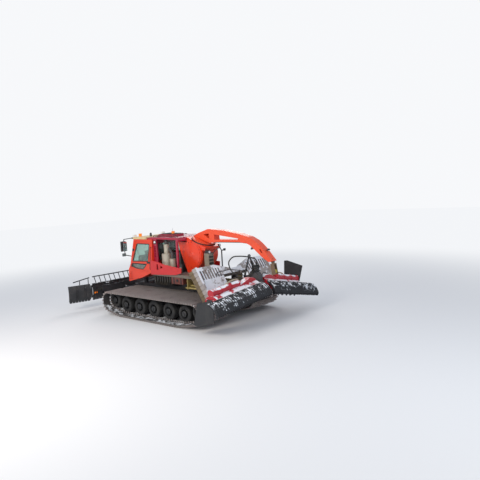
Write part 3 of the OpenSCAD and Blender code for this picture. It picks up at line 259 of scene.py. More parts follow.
def amber_material():
    material = finish_material("amber", (0.95, 0.22, 0.01), 0.2, grime=0.1, grime_colour=(0.6, 0.12, 0.01),
                               coat=0.5, bump=0.02)
    shader = material.node_tree.nodes["Principled BSDF"]
    shader.inputs["Emission Color"].default_value = (1.0, 0.25, 0.01, 1)
    shader.inputs["Emission Strength"].default_value = 0.25
    return material


amber = amber_material()
lamp_glass = finish_material("lamp_glass", (0.86, 0.87, 0.88), 0.15, grime=0.15,
                             grime_colour=(0.5, 0.5, 0.5), coat=0.6, bump=0.02)
mirror_face = finish_material("mirror_face", (0.55, 0.58, 0.62), 0.06, metal=0.9, grime=0.1,
                              grime_colour=(0.2, 0.2, 0.2), bump=0.0)
red_lens = finish_material("red_lens", (0.45, 0.01, 0.01), 0.2, grime=0.2, coat=0.5, bump=0.02)
beige_paint = finish_material("beige_paint", (0.42, 0.35, 0.25), 0.45, grime=0.45,
                              grime_colour=(0.16, 0.12, 0.08), bump=0.08, snow=0.15)
# painted light: the brown of the guard's end beams stands in for warm sunlight on their faces
beam_sunlit_brown = finish_material("beam_sunlit_brown", (0.17, 0.125, 0.07), 0.5, metal=0.1, grime=0.5,
                             grime_colour=(0.08, 0.06, 0.04), bump=0.1, snow=0.12)
pipe_paint = finish_material("pipe_paint", (0.42, 0.33, 0.12), 0.45, metal=0.2, grime=0.5,
                             grime_colour=(0.10, 0.07, 0.03), bump=0.1, snow=0.10)
column_paint = finish_material("column_paint", (0.27, 0.225, 0.175), 0.5, metal=0.15, grime=0.5,
                               grime_colour=(0.12, 0.095, 0.07), bump=0.1, snow=0.10)
trim_grey = finish_material("trim_grey", (0.055, 0.052, 0.055), 0.5, grime=0.3, bump=0.1, grain=150,
                            snow=0.10)
seat_cloth = finish_material("seat_cloth", (0.035, 0.035, 0.040), 0.85, grime=0.2,
                             grime_colour=(0.09, 0.085, 0.08), bump=0.35, grain=420, scale=6)

SLOT_FINISH = {
    "steel_dark": black_steel, "aluminium_shoe": shoe_metal, "tyre": tyre_rubber,
    "orange_paint": orange_paint, "crimson_paint": crimson_paint, "cream_paint": cream_paint,
    "glass": cab_glass, "grey_plastic": plastic_black, "amber": amber, "silver_steel": silver_metal,
    "iron": iron, "hose_rubber": hose_black, "deck_plate": deck_steel, "chrome_rod": chrome,
    "head_steel": head_steel, "brass_yellow": rope_yellow, "lamp_lens": lamp_glass,
    "pipe_khaki": pipe_paint,
}
NODE_FINISH = {"boom": boom_paint, "tiller_left": tiller_red, "tiller_right": tiller_red,
               "blade": blade_steel, "wing_left": blade_steel, "wing_right": blade_steel,
               "rear_guard": guard_steel, "finisher_left": finisher_rubber,
               "finisher_right": finisher_rubber, "side_fairings": fairing_red, "side_tanks": tank_brown}
for part in frame["record"]["subparts"]:
    node = nodes[part["node"]]
    finish = NODE_FINISH.get(part["node"], SLOT_FINISH[part["material_slot"]])
    for socket in node.material_slots:
        socket.material = finish


# Floor, backdrop and lamps
def as_mesh(bm, name):
    mesh = bpy.data.meshes.new(name)
    bm.to_mesh(mesh)
    bm.free()
    return mesh


def plain_stage():
    material = bpy.data.materials.new("pale_floor")
    material.use_nodes = True
    tree = material.node_tree
    shader = tree.nodes["Principled BSDF"]
    shader.inputs["Base Color"].default_value = (0.82, 0.83, 0.85, 1)
    shader.inputs["Roughness"].default_value = 0.9
    # far off, the floor takes on the backdrop's colour
    place = put(tree, "ShaderNodeTexCoord").outputs["Object"]
    reach = put(tree, "ShaderNodeVectorMath", {0: place}, operation="LENGTH").outputs["Value"]
    rays = put(tree, "ShaderNodeLightPath")
    mirrored = sums(tree, "MAXIMUM", rays.outputs["Is Glossy Ray"], rays.outputs["Is Transmission Ray"])
    seen = sums(tree, "MAXIMUM", rays.outputs["Is Camera Ray"], mirrored)
    far = put(tree, "ShaderNodeEmission", {"Color": (0.90, 0.915, 0.94, 1)})
    mix = put(tree, "ShaderNodeMixShader")
    tree.links.new(sums(tree, "MULTIPLY", spread(tree, reach, 7.0, 22.0), seen), mix.inputs[0])
    tree.links.new(shader.outputs[0], mix.inputs[1])
    tree.links.new(far.outputs[0], mix.inputs[2])
    tree.links.new(mix.outputs[0], tree.nodes["Material Output"].inputs["Surface"])
    bm = bmesh.new()
    bmesh.ops.create_grid(bm, x_segments=1, y_segments=1, size=80)
    mesh = as_mesh(bm, "floor")
    mesh.materials.append(material)
    floor = bpy.data.objects.new("floor", mesh)
    floor.location.z = -0.002
    bpy.context.scene.collection.objects.link(floor)
    world = bpy.data.worlds.new("studio")
    world.use_nodes = True
    tree = world.node_tree
    tree.nodes.clear()
    rays = put(tree, "ShaderNodeLightPath")
    seen = put(tree, "ShaderNodeBackground", {"Color": (0.93, 0.94, 0.96, 1)})
    light = put(tree, "ShaderNodeBackground", {"Color": (0.86, 0.91, 1.0, 1), "Strength": 0.62})
    mix = put(tree, "ShaderNodeMixShader")
    looked_at = sums(tree, "MAXIMUM", rays.outputs["Is Camera Ray"], rays.outputs["Is Transmission Ray"])
    tree.links.new(looked_at, mix.inputs[0])
    tree.links.new(light.outputs[0], mix.inputs[1])
    tree.links.new(seen.outputs[0], mix.inputs[2])
    tree.links.new(mix.outputs[0], put(tree, "ShaderNodeOutputWorld").inputs[0])
    bpy.context.scene.world = world
    for name, spot, aim, power, size, colour in (
            ("key", (12, 2, 8), (0, 0, 1.2), 900, 5, (1.0, 0.92, 0.82)),
            ("fill", (3, 14, 7), (0, 1, 1), 260, 7, (0.90, 0.95, 1.0)),
            ("rim", (-9, -7, 8), (0, 0, 1), 380, 6, (1.0, 0.96, 0.92))):
        data = bpy.data.lights.new(name, "AREA")
        data.energy = power
        data.size = size
        data.color = colour
        lamp = bpy.data.objects.new(name, data)
        lamp.location = spot
        lamp.rotation_euler = (Vector(spot) - Vector(aim)).to_track_quat("Z", "Y").to_euler()
        bpy.context.scene.collection.objects.link(lamp)


plain_stage()
bpy.context.scene.view_settings.view_transform = "Standard"


# Making pieces
SIDES = (("left", False), ("right", True))


def piece(name, bm, material, body, bevel=0.0, segments=2, smooth=35):
    bmesh.ops.remove_doubles(bm, verts=bm.verts, dist=0.00005)
    # a turned shape leaves a bare edge on its axle
    bmesh.ops.delete(bm, geom=[e for e in bm.edges if not e.link_faces], context="EDGES")
    if bevel:
        sharp = [e for e in bm.edges if e.is_manifold and e.calc_face_angle(0) > math.radians(30)]
        bmesh.ops.bevel(bm, geom=sharp, offset=bevel, offset_type="OFFSET", segments=segments, profile=0.5,
                        affect="EDGES", material=-1, clamp_overlap=True)
    bmesh.ops.recalc_face_normals(bm, faces=bm.faces)
    mesh = bpy.data.meshes.new(name)
    for face in bm.faces:
        face.smooth = True
    bm.to_mesh(mesh)
    bm.free()
    mesh.set_sharp_from_angle(angle=math.radians(smooth))
    for finish in material if isinstance(material, (list, tuple)) else [material]:
        mesh.materials.append(finish)
    made = bpy.data.objects.new(name, mesh)
    bpy.context.scene.collection.objects.link(made)
    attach(made, body)
    return made


def paint(verts, finish):
    # the faces of new corners get the piece's second or third material
    if finish:
        for face in set(f for v in verts for f in v.link_faces):
            face.material_index = finish


def block(bm, low, high, turn=None, finish=0):
    verts = bmesh.ops.create_cube(bm, size=1.0)["verts"]
    low, high = Vector(low), Vector(high)
    place = Matrix.Translation((low + high) / 2) @ (turn or Matrix.Identity(4))
    bmesh.ops.transform(bm, matrix=place @ Matrix.Diagonal((*(high - low), 1)), verts=verts)
    paint(verts, finish)
    return verts


def side_block(bm, s, x, y, z, finish=0):
    # a block from its ranges along x, y and z, on the left for s = 1 and on the right for s = -1
    low, high = sorted((s * x[0], s * x[1]))
    return block(bm, (low, y[0], z[0]), (high, y[1], z[1]), finish=finish)


def between(a, b):
    a, b = Vector(a), Vector(b)
    place = (b - a).to_track_quat("Z", "Y").to_matrix().to_4x4()
    place.translation = (a + b) / 2
    return place, (b - a).length


def bar(bm, a, b, r, r2=None, sides=16, finish=0):
    place, length = between(a, b)
    far_r = r if r2 is None else r2
    cone = bmesh.ops.create_cone(bm, cap_ends=True, segments=sides, radius1=r, radius2=far_r, depth=length)
    bmesh.ops.transform(bm, matrix=place, verts=cone["verts"])
    paint(cone["verts"], finish)


def faces_before(bm, finish):
    return set(bm.faces) if finish else None


def put_in_finish(bm, known, finish):
    # faces that weren't there before get the piece's second or third material
    if finish:
        for face in bm.faces:
            if face not in known:
                face.material_index = finish


def is_vert(g):
    return isinstance(g, bmesh.types.BMVert)


def sweep(bm, outline, places, closed=False, finish=0):
    # an outline carried from place to place
    ring = [bm.verts.new(places[0] @ Vector(p)) for p in outline]
    first = [bm.edges.new((ring[i], ring[(i + 1) % len(ring)])) for i in range(len(ring))]
    edges = first
    known = faces_before(bm, finish)
    for a, b in zip(places, places[1:]):
        out = bmesh.ops.extrude_edge_only(bm, edges=edges)
        verts = [g for g in out["geom"] if is_vert(g)]
        fresh = set(verts)
        edges = [g for g in out["geom"] if isinstance(g, bmesh.types.BMEdge) and fresh.issuperset(g.verts)]
        bmesh.ops.transform(bm, matrix=b @ a.inverted(), verts=verts)
    if closed:
        bmesh.ops.bridge_loops(bm, edges=edges + first)
    else:
        bmesh.ops.contextual_create(bm, geom=first)
        bmesh.ops.contextual_create(bm, geom=edges)
    put_in_finish(bm, known, finish)


def rounded(points, radius, steps=5):
    # a path with its corners rounded
    points = [Vector(p) for p in points]
    path = [points[0]]
    for before, here, after in zip(points, points[1:], points[2:]):
        back, on = before - here, after - here
        cut = min(radius, back.length * 0.45, on.length * 0.45)
        start, end = here + back.normalized() * cut, here + on.normalized() * cut
        for i in range(steps + 1):
            t = i / steps
            path.append(start * (1 - t) ** 2 + here * 2 * t * (1 - t) + end * t ** 2)
    return path + [points[-1]]


def along(path, closed=False):
    # places on a path, each turned as little as possible from the last
    path = [Vector(p) for p in path]
    n = len(path)
    places = []
    side = None
    for i, p in enumerate(path):
        ahead = path[(i + 1) % n] if closed or i < n - 1 else p
        behind = path[i - 1] if closed or i > 0 else p
        way = (ahead - behind).normalized()
        if side is None:
            side = way.orthogonal().normalized()
        side = (side - way * side.dot(way)).normalized()
        over = way.cross(side)
        place = Matrix((side, over, way)).transposed().to_4x4()
        place.translation = p
        places.append(place)
    return places


def turns(count):
    # the angles of a full turn in equal steps
    return [2 * math.pi * i / count for i in range(count)]


def circle(r, sides=12):
    return [(r * math.cos(a), r * math.sin(a), 0) for a in turns(sides)]


def pipe(bm, points, r, bend=0.1, sides=12, finish=0):
    sweep(bm, circle(r, sides), along(rounded(points, bend)), finish=finish)


def rod_strip(bm, points, half_wide, half_thick):
    # a flat rod along a line of points
    w, t = half_wide, half_thick
    sweep(bm, [(-w, -t, 0), (w, -t, 0), (w, t, 0), (-w, t, 0)], along(points))


def stamp(bm, mesh, place):
    placed = mesh.copy()
    placed.transform(place)
    bm.from_mesh(placed)
    bpy.data.meshes.remove(placed)


# Tracks: the same loop as the solids
TRACK_LENGTH, TRACK_HEIGHT, TRACK_WIDTH, TRACK_INNER = 5.2, 0.9, 1.49, 0.59
SHOES, SHOE_HEIGHT, BELT = 92, 0.075, 0.022
END_R = TRACK_HEIGHT / 2 - SHOE_HEIGHT - 0.06
END_Y, END_Z = TRACK_LENGTH / 2 - SHOE_HEIGHT - END_R, TRACK_HEIGHT - SHOE_HEIGHT - END_R
ROAD_Y, ROAD_R = END_Y - 0.66, 0.300
ROLLERS = [(END_Y, END_Z, END_R), (-END_Y, END_Z, END_R),
           (-ROAD_Y, SHOE_HEIGHT + ROAD_R + BELT, ROAD_R + BELT),
           (ROAD_Y, SHOE_HEIGHT + ROAD_R + BELT, ROAD_R + BELT)]


def belt_runs():
    heads = []
    for i in range(4):
        (ay, az, ar), (by, bz, br) = ROLLERS[i], ROLLERS[(i + 1) % 4]
        heads.append(math.atan2(bz - az, by - ay) - math.acos((ar - br) / math.hypot(by - ay, bz - az)))
    runs = []
    for i in range(4):
        (ay, az, ar), (by, bz, br) = ROLLERS[i], ROLLERS[(i + 1) % 4]
        turn = (heads[i] - heads[i - 1]) % (2 * math.pi)
        runs.append((heads[i], ar * turn, math.sqrt((by - ay) ** 2 + (bz - az) ** 2 - (ar - br) ** 2)))
    return runs


BELT_RUNS = belt_runs()
BELT_LENGTH = sum(w + s for _, w, s in BELT_RUNS)


def on_belt(distance, height=0.0):
    # place on the loop: x across, y along the belt, z outwards
    distance %= BELT_LENGTH
    for (y, z, r), (head, wrap, straight) in zip(ROLLERS, BELT_RUNS):
        if distance < wrap + straight:
            break
        distance -= wrap + straight
    angle = head - (wrap - distance) / r if distance < wrap else head
    past = max(0.0, distance - wrap)
    c, s = math.cos(angle), math.sin(angle)
    place = Matrix(((1, 0, 0), (0, -s, c), (0, c, s))).to_4x4()
    place.translation = Vector((0, y + (r + height) * c - past * s, z + (r + height) * s + past * c))
    return place


def shoe_mesh():
    bm = bmesh.new()
    x0, x1 = TRACK_INNER + 0.003, TRACK_INNER + TRACK_WIDTH - 0.003
    block(bm, (x0, -0.036, 0.000), (x1, 0.036, 0.010))
    # upright rib, its top stepped down between the belts
    tops = [(0, 0.066), (0.26, 0.066), (0.26, 0.052), (0.34, 0.052), (0.34, 0.072), (0.62, 0.072),
            (0.62, 0.060), (0.84, 0.060), (0.84, 0.072), (1.12, 0.072), (1.12, 0.052), (1.20, 0.052),
            (1.20, 0.066), (x1 - x0, 0.066)]
    outline = [(x0, 0.008)] + [(x0 + x, z) for x, z in tops] + [(x1, 0.008)]
    rib = bm.faces.new([bm.verts.new((x, -0.007, z)) for x, z in outline])
    out = bmesh.ops.extrude_face_region(bm, geom=[rib])
    bmesh.ops.translate(bm, vec=(0, 0.014, 0), verts=[g for g in out["geom"] if is_vert(g)])
    for x in (0.15, 0.49, 0.74, 0.98, 1.32):
        for y in (-0.024, 0.024):
            bar(bm, (x0 + x, y, 0.010), (x0 + x, y, 0.019), 0.009, sides=6)
    return as_mesh(bm, "shoe")


def make_track(side, mirrored):
    bm = bmesh.new()
    shoe = shoe_mesh()
    pitch = BELT_LENGTH / SHOES
    for k in range(SHOES):
        stamp(bm, shoe, on_belt((k + 0.5) * pitch))
    steps = 150
    places = [on_belt(i * BELT_LENGTH / steps) for i in range(steps)]
    for low, high in ((0.03, 0.29), (0.345, 0.635), (0.69, 0.79), (0.845, 1.135), (1.19, 1.46)):
        x0, x1 = TRACK_INNER + low, TRACK_INNER + high
        section = [(x0, 0, -0.020), (x1, 0, -0.020), (x1, 0, -0.001), (x0, 0, -0.001)]
        sweep(bm, section, places, closed=True, finish=1)
    # guide horns on both sides of each tyre lane
    horn = bmesh.new()
    for x in (0.315, 0.66, 0.815, 1.16):
        block(horn, (TRACK_INNER + x - 0.008, -0.018, -0.075), (TRACK_INNER + x + 0.008, 0.018, 0.002))
    horn = as_mesh(horn, "horn")
    for k in range(SHOES):
        stamp(bm, horn, on_belt((k + 0.5) * pitch))
    if mirrored:
        bmesh.ops.transform(bm, matrix=Matrix.Diagonal((-1, 1, 1, 1)), verts=bm.verts)
    made = piece("track_shoes_" + side, bm, [shoe_metal, belt_rubber], "chassis")
    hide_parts("track_" + side)


for side, mirrored in SIDES:
    make_track(side, mirrored)


# Shapes that several pieces use
def turned(bm, points, centre, axis, steps, finish):
    # a closed outline turned about an axis
    known = faces_before(bm, finish)
    ring = [bm.verts.new(p) for p in points]
    edges = [bm.edges.new((ring[i], ring[(i + 1) % len(ring)])) for i in range(len(ring))]
    bmesh.ops.spin(bm, geom=ring + edges, cent=centre, axis=axis, dvec=(0, 0, 0), angle=2 * math.pi,
                   steps=steps, use_merge=True, use_duplicate=False)
    put_in_finish(bm, known, finish)


def lathe(bm, profile, y, z, steps=40, finish=0):
    # (x, radius) about an axle that lies across the machine
    turned(bm, [(x, y, z + r) for x, r in profile], (0, y, z), (1, 0, 0), steps, finish)


def lathe_upright(bm, at, profile, steps=36, finish=0):
    # (radius, z) about an upright axis
    x, y = at
    turned(bm, [(x + r, y, z) for r, z in profile], (x, y, 0), (0, 0, 1), steps, finish)


def lathe_along(bm, at, profile, steps=36, finish=0):
    # (y, radius) about an axis along the machine
    x, z = at
    turned(bm, [(x, y, z + r) for y, r in profile], (x, 0, z), (0, 1, 0), steps, finish)


def loop(points, radius, steps=4):
    # a closed outline with its corners rounded
    points = [Vector(p) for p in points]
    middle = (points[-1] + points[0]) / 2
    return rounded([middle, *points, middle], radius, steps)[:-1]


def strip(bm, points, normal, thick, wide, radius=0.04, finish=0):
    # a flat strip that follows a closed outline in one plane
    path = loop(points, radius)
    normal = Vector(normal).normalized()
    places = []
    for i, p in enumerate(path):
        way = (path[(i + 1) % len(path)] - path[i - 1]).normalized()
        over = way.cross(normal)
        place = Matrix((normal, over, way)).transposed().to_4x4()
        place.translation = p
        places.append(place)
    t, w = thick / 2, wide / 2
    section = [(-t, -w, 0), (t, -w * 0.7, 0), (t, w * 0.7, 0), (-t, w, 0)]
    sweep(bm, section, places, closed=True, finish=finish)


def bolts(bm, centre, normal, radius, count, r=0.012, h=0.012, finish=0):
    # a ring of bolt heads on a face
    normal = Vector(normal).normalized()
    side = normal.orthogonal().normalized()
    over = normal.cross(side)
    for a in turns(count):
        p = Vector(centre) + side * radius * math.cos(a) + over * radius * math.sin(a)
        bar(bm, p, p + normal * h, r, sides=6, finish=finish)


def slab(bm, outline, x0, x1, finish=0):
    # an outline in (y, z) pushed out along x
    known = faces_before(bm, finish)
    verts = [bm.verts.new((x0, y, z)) for y, z in outline]
    face = bm.faces.new(verts)
    out = bmesh.ops.extrude_face_region(bm, geom=[face])
    bmesh.ops.translate(bm, vec=(x1 - x0, 0, 0), verts=[g for g in out["geom"] if is_vert(g)])
    put_in_finish(bm, known, finish)


def mirror_all(bm):
    bmesh.ops.transform(bm, matrix=Matrix.Diagonal((-1, 1, 1, 1)), verts=bm.verts)
    bmesh.ops.reverse_faces(bm, faces=bm.faces)


def work_lamp(bm, at, size, toward):
    # a lamp case with its lens in the second material, turned toward where it shines
    w, h, d = size
    case = bmesh.ops.create_cube(bm, size=1.0)["verts"]
    bmesh.ops.transform(bm, matrix=Matrix.Diagonal((w, h, d, 1)), verts=case)
    back = [f for f in set(f for v in case for f in v.link_faces) if f.calc_center_median().z < -d * 0.4]
    bmesh.ops.scale(bm, vec=(0.7, 0.7, 1), verts=list(set(v for f in back for v in f.verts)))
    glass = bmesh.ops.create_cone(bm, cap_ends=True, segments=24, radius1=min(w, h) * 0.42,
                                  radius2=min(w, h) * 0.36, depth=d * 0.2)["verts"]
    bmesh.ops.translate(bm, vec=(0, 0, d * 0.55), verts=glass)
    paint(glass, 1)
    place = Vector(toward).to_track_quat("Z", "Y").to_matrix().to_4x4()
    place.translation = Vector(at)
    bmesh.ops.transform(bm, matrix=place, verts=case + glass)


# Wheels: two tyres on each axle, on pressed rims with their nuts
TYRE_LANES = (TRACK_INNER + 0.33, TRACK_INNER + 0.83)
HUB_END = TYRE_LANES[1] + 0.32


def make_wheel(bm, y, z, r, axle):
    for x in TYRE_LANES:
        tyre = [(0.035, 0.165), (0.004, 0.185), (0, r - 0.06), (0.02, r - 0.016), (0.055, r - 0.002),
                (0.11, r - 0.002), (0.115, r - 0.008), (0.125, r - 0.008), (0.13, r - 0.001),
                (0.19, r - 0.001), (0.195, r - 0.008), (0.205, r - 0.008), (0.21, r - 0.002),
                (0.265, r - 0.002), (0.30, r - 0.016), (0.32, r - 0.06), (0.316, 0.185), (0.285, 0.165)]
        rim = [(0.030, 0.168), (0.290, 0.168), (0.296, 0.152), (0.20, 0.146), (0.185, 0.120), (0.21, 0.085),
               (0.21, 0.0), (0.19, 0.0), (0.165, 0.118), (0.10, 0.140), (0.024, 0.152)]
        lathe(bm, [(x + d, h) for d, h in tyre], y, z, 36)
        lathe(bm, [(x + d, h) for d, h in rim], y, z, 28, 1)
        for a in turns(8):
            p = Vector((x + 0.205, y + 0.1 * math.cos(a), z + 0.1 * math.sin(a)))
            bar(bm, p, p + Vector((0.018, 0, 0)), 0.011, sides=6, finish=2)
    bar(bm, (0.56, y, z), (HUB_END, y, z), axle, sides=24, finish=1)
    hub = [(-0.10, axle), (-0.05, 0.10), (0.006, 0.105), (0.018, 0.09), (0.022, 0.05), (0.036, 0.044),
           (0.038, 0.0), (-0.10, 0.0)]
    lathe(bm, [(HUB_END + d, h) for d, h in hub], y, z, 28, 1)


def make_wheels(side, mirrored):
    bm = bmesh.new()
    for i in range(5):
        y = -ROAD_Y + 2 * ROAD_Y * i / 4
        make_wheel(bm, y, SHOE_HEIGHT + BELT + ROAD_R, ROAD_R - (0.004 if i in (0, 4) else 0.001), 0.058)
    for y in (-END_Y, END_Y):
        make_wheel(bm, y, END_Z, END_R - BELT - 0.004, 0.080)
    # cogs of the driven wheels at the rear
    for x in (TYRE_LANES[0] + 0.365, TYRE_LANES[0] + 0.43):
        lathe(bm, [(x, 0.08), (x, 0.235), (x + 0.02, 0.235), (x + 0.02, 0.08)], END_Y, END_Z, 36, 1)
        for a in turns(18):
            cog = block(bm, (x, -0.016, 0.225), (x + 0.02, 0.016, 0.272), finish=1)
            turn = Matrix.Translation((0, END_Y, END_Z)) @ Matrix.Rotation(a, 4, "X")
            bmesh.ops.transform(bm, matrix=turn, verts=cog)
    if mirrored:
        mirror_all(bm)
    made = piece("wheel_set_" + side, bm, [tyre_rubber, black_steel, shoe_metal], "chassis")
    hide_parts("wheels_" + side)


for side, mirrored in SIDES:
    make_wheels(side, mirrored)


# Cab: its walls and front lean in, so places on them come from functions
def wall_x(z):
    return 0.98 - 0.14 * (z - 1.09) / 1.62


def screen_y(z):
    return -2.21 + 0.18 * (z - 1.76) / 0.95


WALL_OUT = Vector((1, 0, 0.0864)).normalized()
SCREEN_OUT = Vector((0, -0.9825, 0.186)).normalized()
PANE = [(-2.075, 1.87), (-1.165, 1.905), (-1.095, 2.54), (-1.825, 2.54)]
LOW_PANE = [(-2.095, 1.67), (-1.82, 1.61), (-1.44, 1.60), (-1.245, 1.79), (-2.10, 1.79)]


def on_wall(y, z, out=0.004):
    return Vector((wall_x(z), y, z)) + WALL_OUT * out


def make_door_trim(side, mirrored):
    bm = bmesh.new()
    for outline in (PANE, LOW_PANE):
        strip(bm, [on_wall(y, z, 0.002) for y, z in outline], WALL_OUT, 0.012, 0.036)
    # handle in its dish
    handle = block(bm, (0, 0, 0), (0.012, 0.17, 0.07))
    handle += block(bm, (0.022, 0.02, 0.018), (0.034, 0.15, 0.05))
    handle += block(bm, (0.010, 0.02, 0.022), (0.026, 0.045, 0.046))
    handle += block(bm, (0.010, 0.125, 0.022), (0.026, 0.15, 0.046))
    dish = Matrix.Translation(on_wall(-1.22, 1.82, 0.0)) @ Matrix.Rotation(-math.atan(0.0864), 4, "Y")
    bmesh.ops.transform(bm, matrix=dish, verts=handle)
    # hinges on the front edge
    for y, z in ((-2.125, 1.70), (-2.055, 2.30)):
        bar(bm, on_wall(y, z - 0.05, 0.018), on_wall(y, z + 0.05, 0.018), 0.011, sides=12)
        quarter = Matrix.Rotation(math.pi / 2, 4, "Z")
        leaf = [Matrix.Translation(on_wall(y + 0.03, z + d)) @ quarter for d in (-0.04, 0.04)]
        sweep(bm, [(-0.03, -0.006, 0), (0.03, -0.006, 0), (0.03, 0.006, 0), (-0.03, 0.006, 0)], leaf)
    if mirrored:
        mirror_all(bm)
    piece("door_trim_" + side, bm, plastic_black, side + "_door", bevel=0.0015, segments=1)


for side, mirrored in SIDES:
    make_door_trim(side, mirrored)


def make_cab_trim():
    bm = bmesh.new()
    low, high = 1.80, 2.64
    wide, narrow = wall_x(low) - 0.09, wall_x(high) - 0.08
    front = [Vector((x, screen_y(z), z)) + SCREEN_OUT * 0.002
             for x, z in ((-wide, low), (wide, low), (narrow, high), (-narrow, high))]
    strip(bm, front, SCREEN_OUT, 0.014, 0.045)
    rear = [(-0.60, -0.938, 1.90), (0.60, -0.938, 1.90), (0.56, -0.938, 2.56), (-0.56, -0.938, 2.56)]
    strip(bm, rear, (0, 1, 0), 0.012, 0.04)
    # wipers: pivot, arm and blade
    for pivot, tip in ((-0.42, -0.02), (0.42, 0.70)):
        foot = Vector((pivot, screen_y(1.785), 1.785)) + SCREEN_OUT * 0.02
        end = Vector((tip - 0.12, screen_y(2.20), 2.20)) + SCREEN_OUT * 0.032
        bar(bm, foot - SCREEN_OUT * 0.02, foot + SCREEN_OUT * 0.02, 0.022, sides=16)
        bar(bm, foot, end, 0.009, 0.006, sides=10)
        way = (end - foot).normalized()
        on_glass = end - SCREEN_OUT * 0.014
        bar(bm, on_glass - way * 0.30, on_glass + way * 0.28, 0.010, sides=8)
    # grab rails behind the doors
    for s in (-1, 1):
        ends = [on_wall(-0.985, z, out) for z, out in ((1.62, 0.0), (1.62, 0.055), (2.42, 0.055), (2.42, 0.0))]
        pipe(bm, [(s * p.x, p.y, p.z) for p in ends], 0.012, bend=0.03, sides=10)
    # rubber edge under the roof, aerial pod and whip
    roof_edge = [(-0.845, -2.04, 2.712), (0.845, -2.04, 2.712), (0.845, -1.275, 2.712), (-0.845, -1.275, 2.712)]
    strip(bm, roof_edge, (0, 0, 1), 0.006, 0.012, radius=0.02)
    pod = [(0.0, 2.79), (0.045, 2.79), (0.040, 2.90), (0.020, 2.925), (0.0, 2.925)]
    lathe_upright(bm, (0.42, -1.50), pod, 24)
    bar(bm, (-0.60, -1.45, 2.79), (-0.62, -1.40, 3.03), 0.006, 0.003, sides=8)
    piece("cab_trim", bm, plastic_black, "chassis", bevel=0.0015, segments=1)
    # lamp faces and mirror faces
    bm = bmesh.new()
    for s in (-1, 1):
        side_block(bm, s, (0.575, 0.745), (-2.386, -2.378), (1.428, 1.492))
        side_block(bm, s, (0.652, 0.778), (-2.166, -2.158), (2.802, 2.852))
        side_block(bm, s, (1.075, 1.245), (-2.157, -2.152), (2.285, 2.635), finish=1)
        side_block(bm, s, (1.092, 1.208), (-2.237, -2.232), (2.09, 2.18), finish=1)
    piece("lamp_faces", bm, [lamp_glass, mirror_face], "chassis", bevel=0.002, segments=1)


make_cab_trim()


def cushion(name, at, size, crown, channels=(), tilt=0.0):
    # a crowned pad: a rounded block that swells on top, with its sewn channels
    bm = bmesh.new()
    bmesh.ops.create_cube(bm, size=2.0)
    bmesh.ops.subdivide_edges(bm, edges=bm.edges, cuts=15, use_grid_fill=True)
    for v in bm.verts:
        x, y, z = v.co
        k = (abs(x) ** 6 + abs(y) ** 6 + abs(z) ** 6) ** (1 / 6)
        x, y, z = x / k, y / k, z / k
        swell = (1 - min(1, abs(x)) ** 4) * (1 - min(1, abs(y)) ** 4)
        groove = sum(math.exp(-((y - c) / 0.05) ** 2) for c in channels)
        groove += math.exp(-((abs(x) - 0.62) / 0.05) ** 2)
        depth = size[2] / 2 * z
        if z > 0:
            depth += (crown - 0.010 * groove) * swell
        v.co = (size[0] / 2 * x * (1 - 0.03 * (1 - y * y)), size[1] / 2 * y * (1 - 0.03 * (1 - x * x)),
                depth)
    place = Matrix.Translation(at) @ Matrix.Rotation(tilt, 4, "X")
    bmesh.ops.transform(bm, matrix=place, verts=bm.verts)
    made = piece(name, bm, seat_cloth, "chassis", smooth=80)


SEAT_X = 0.33


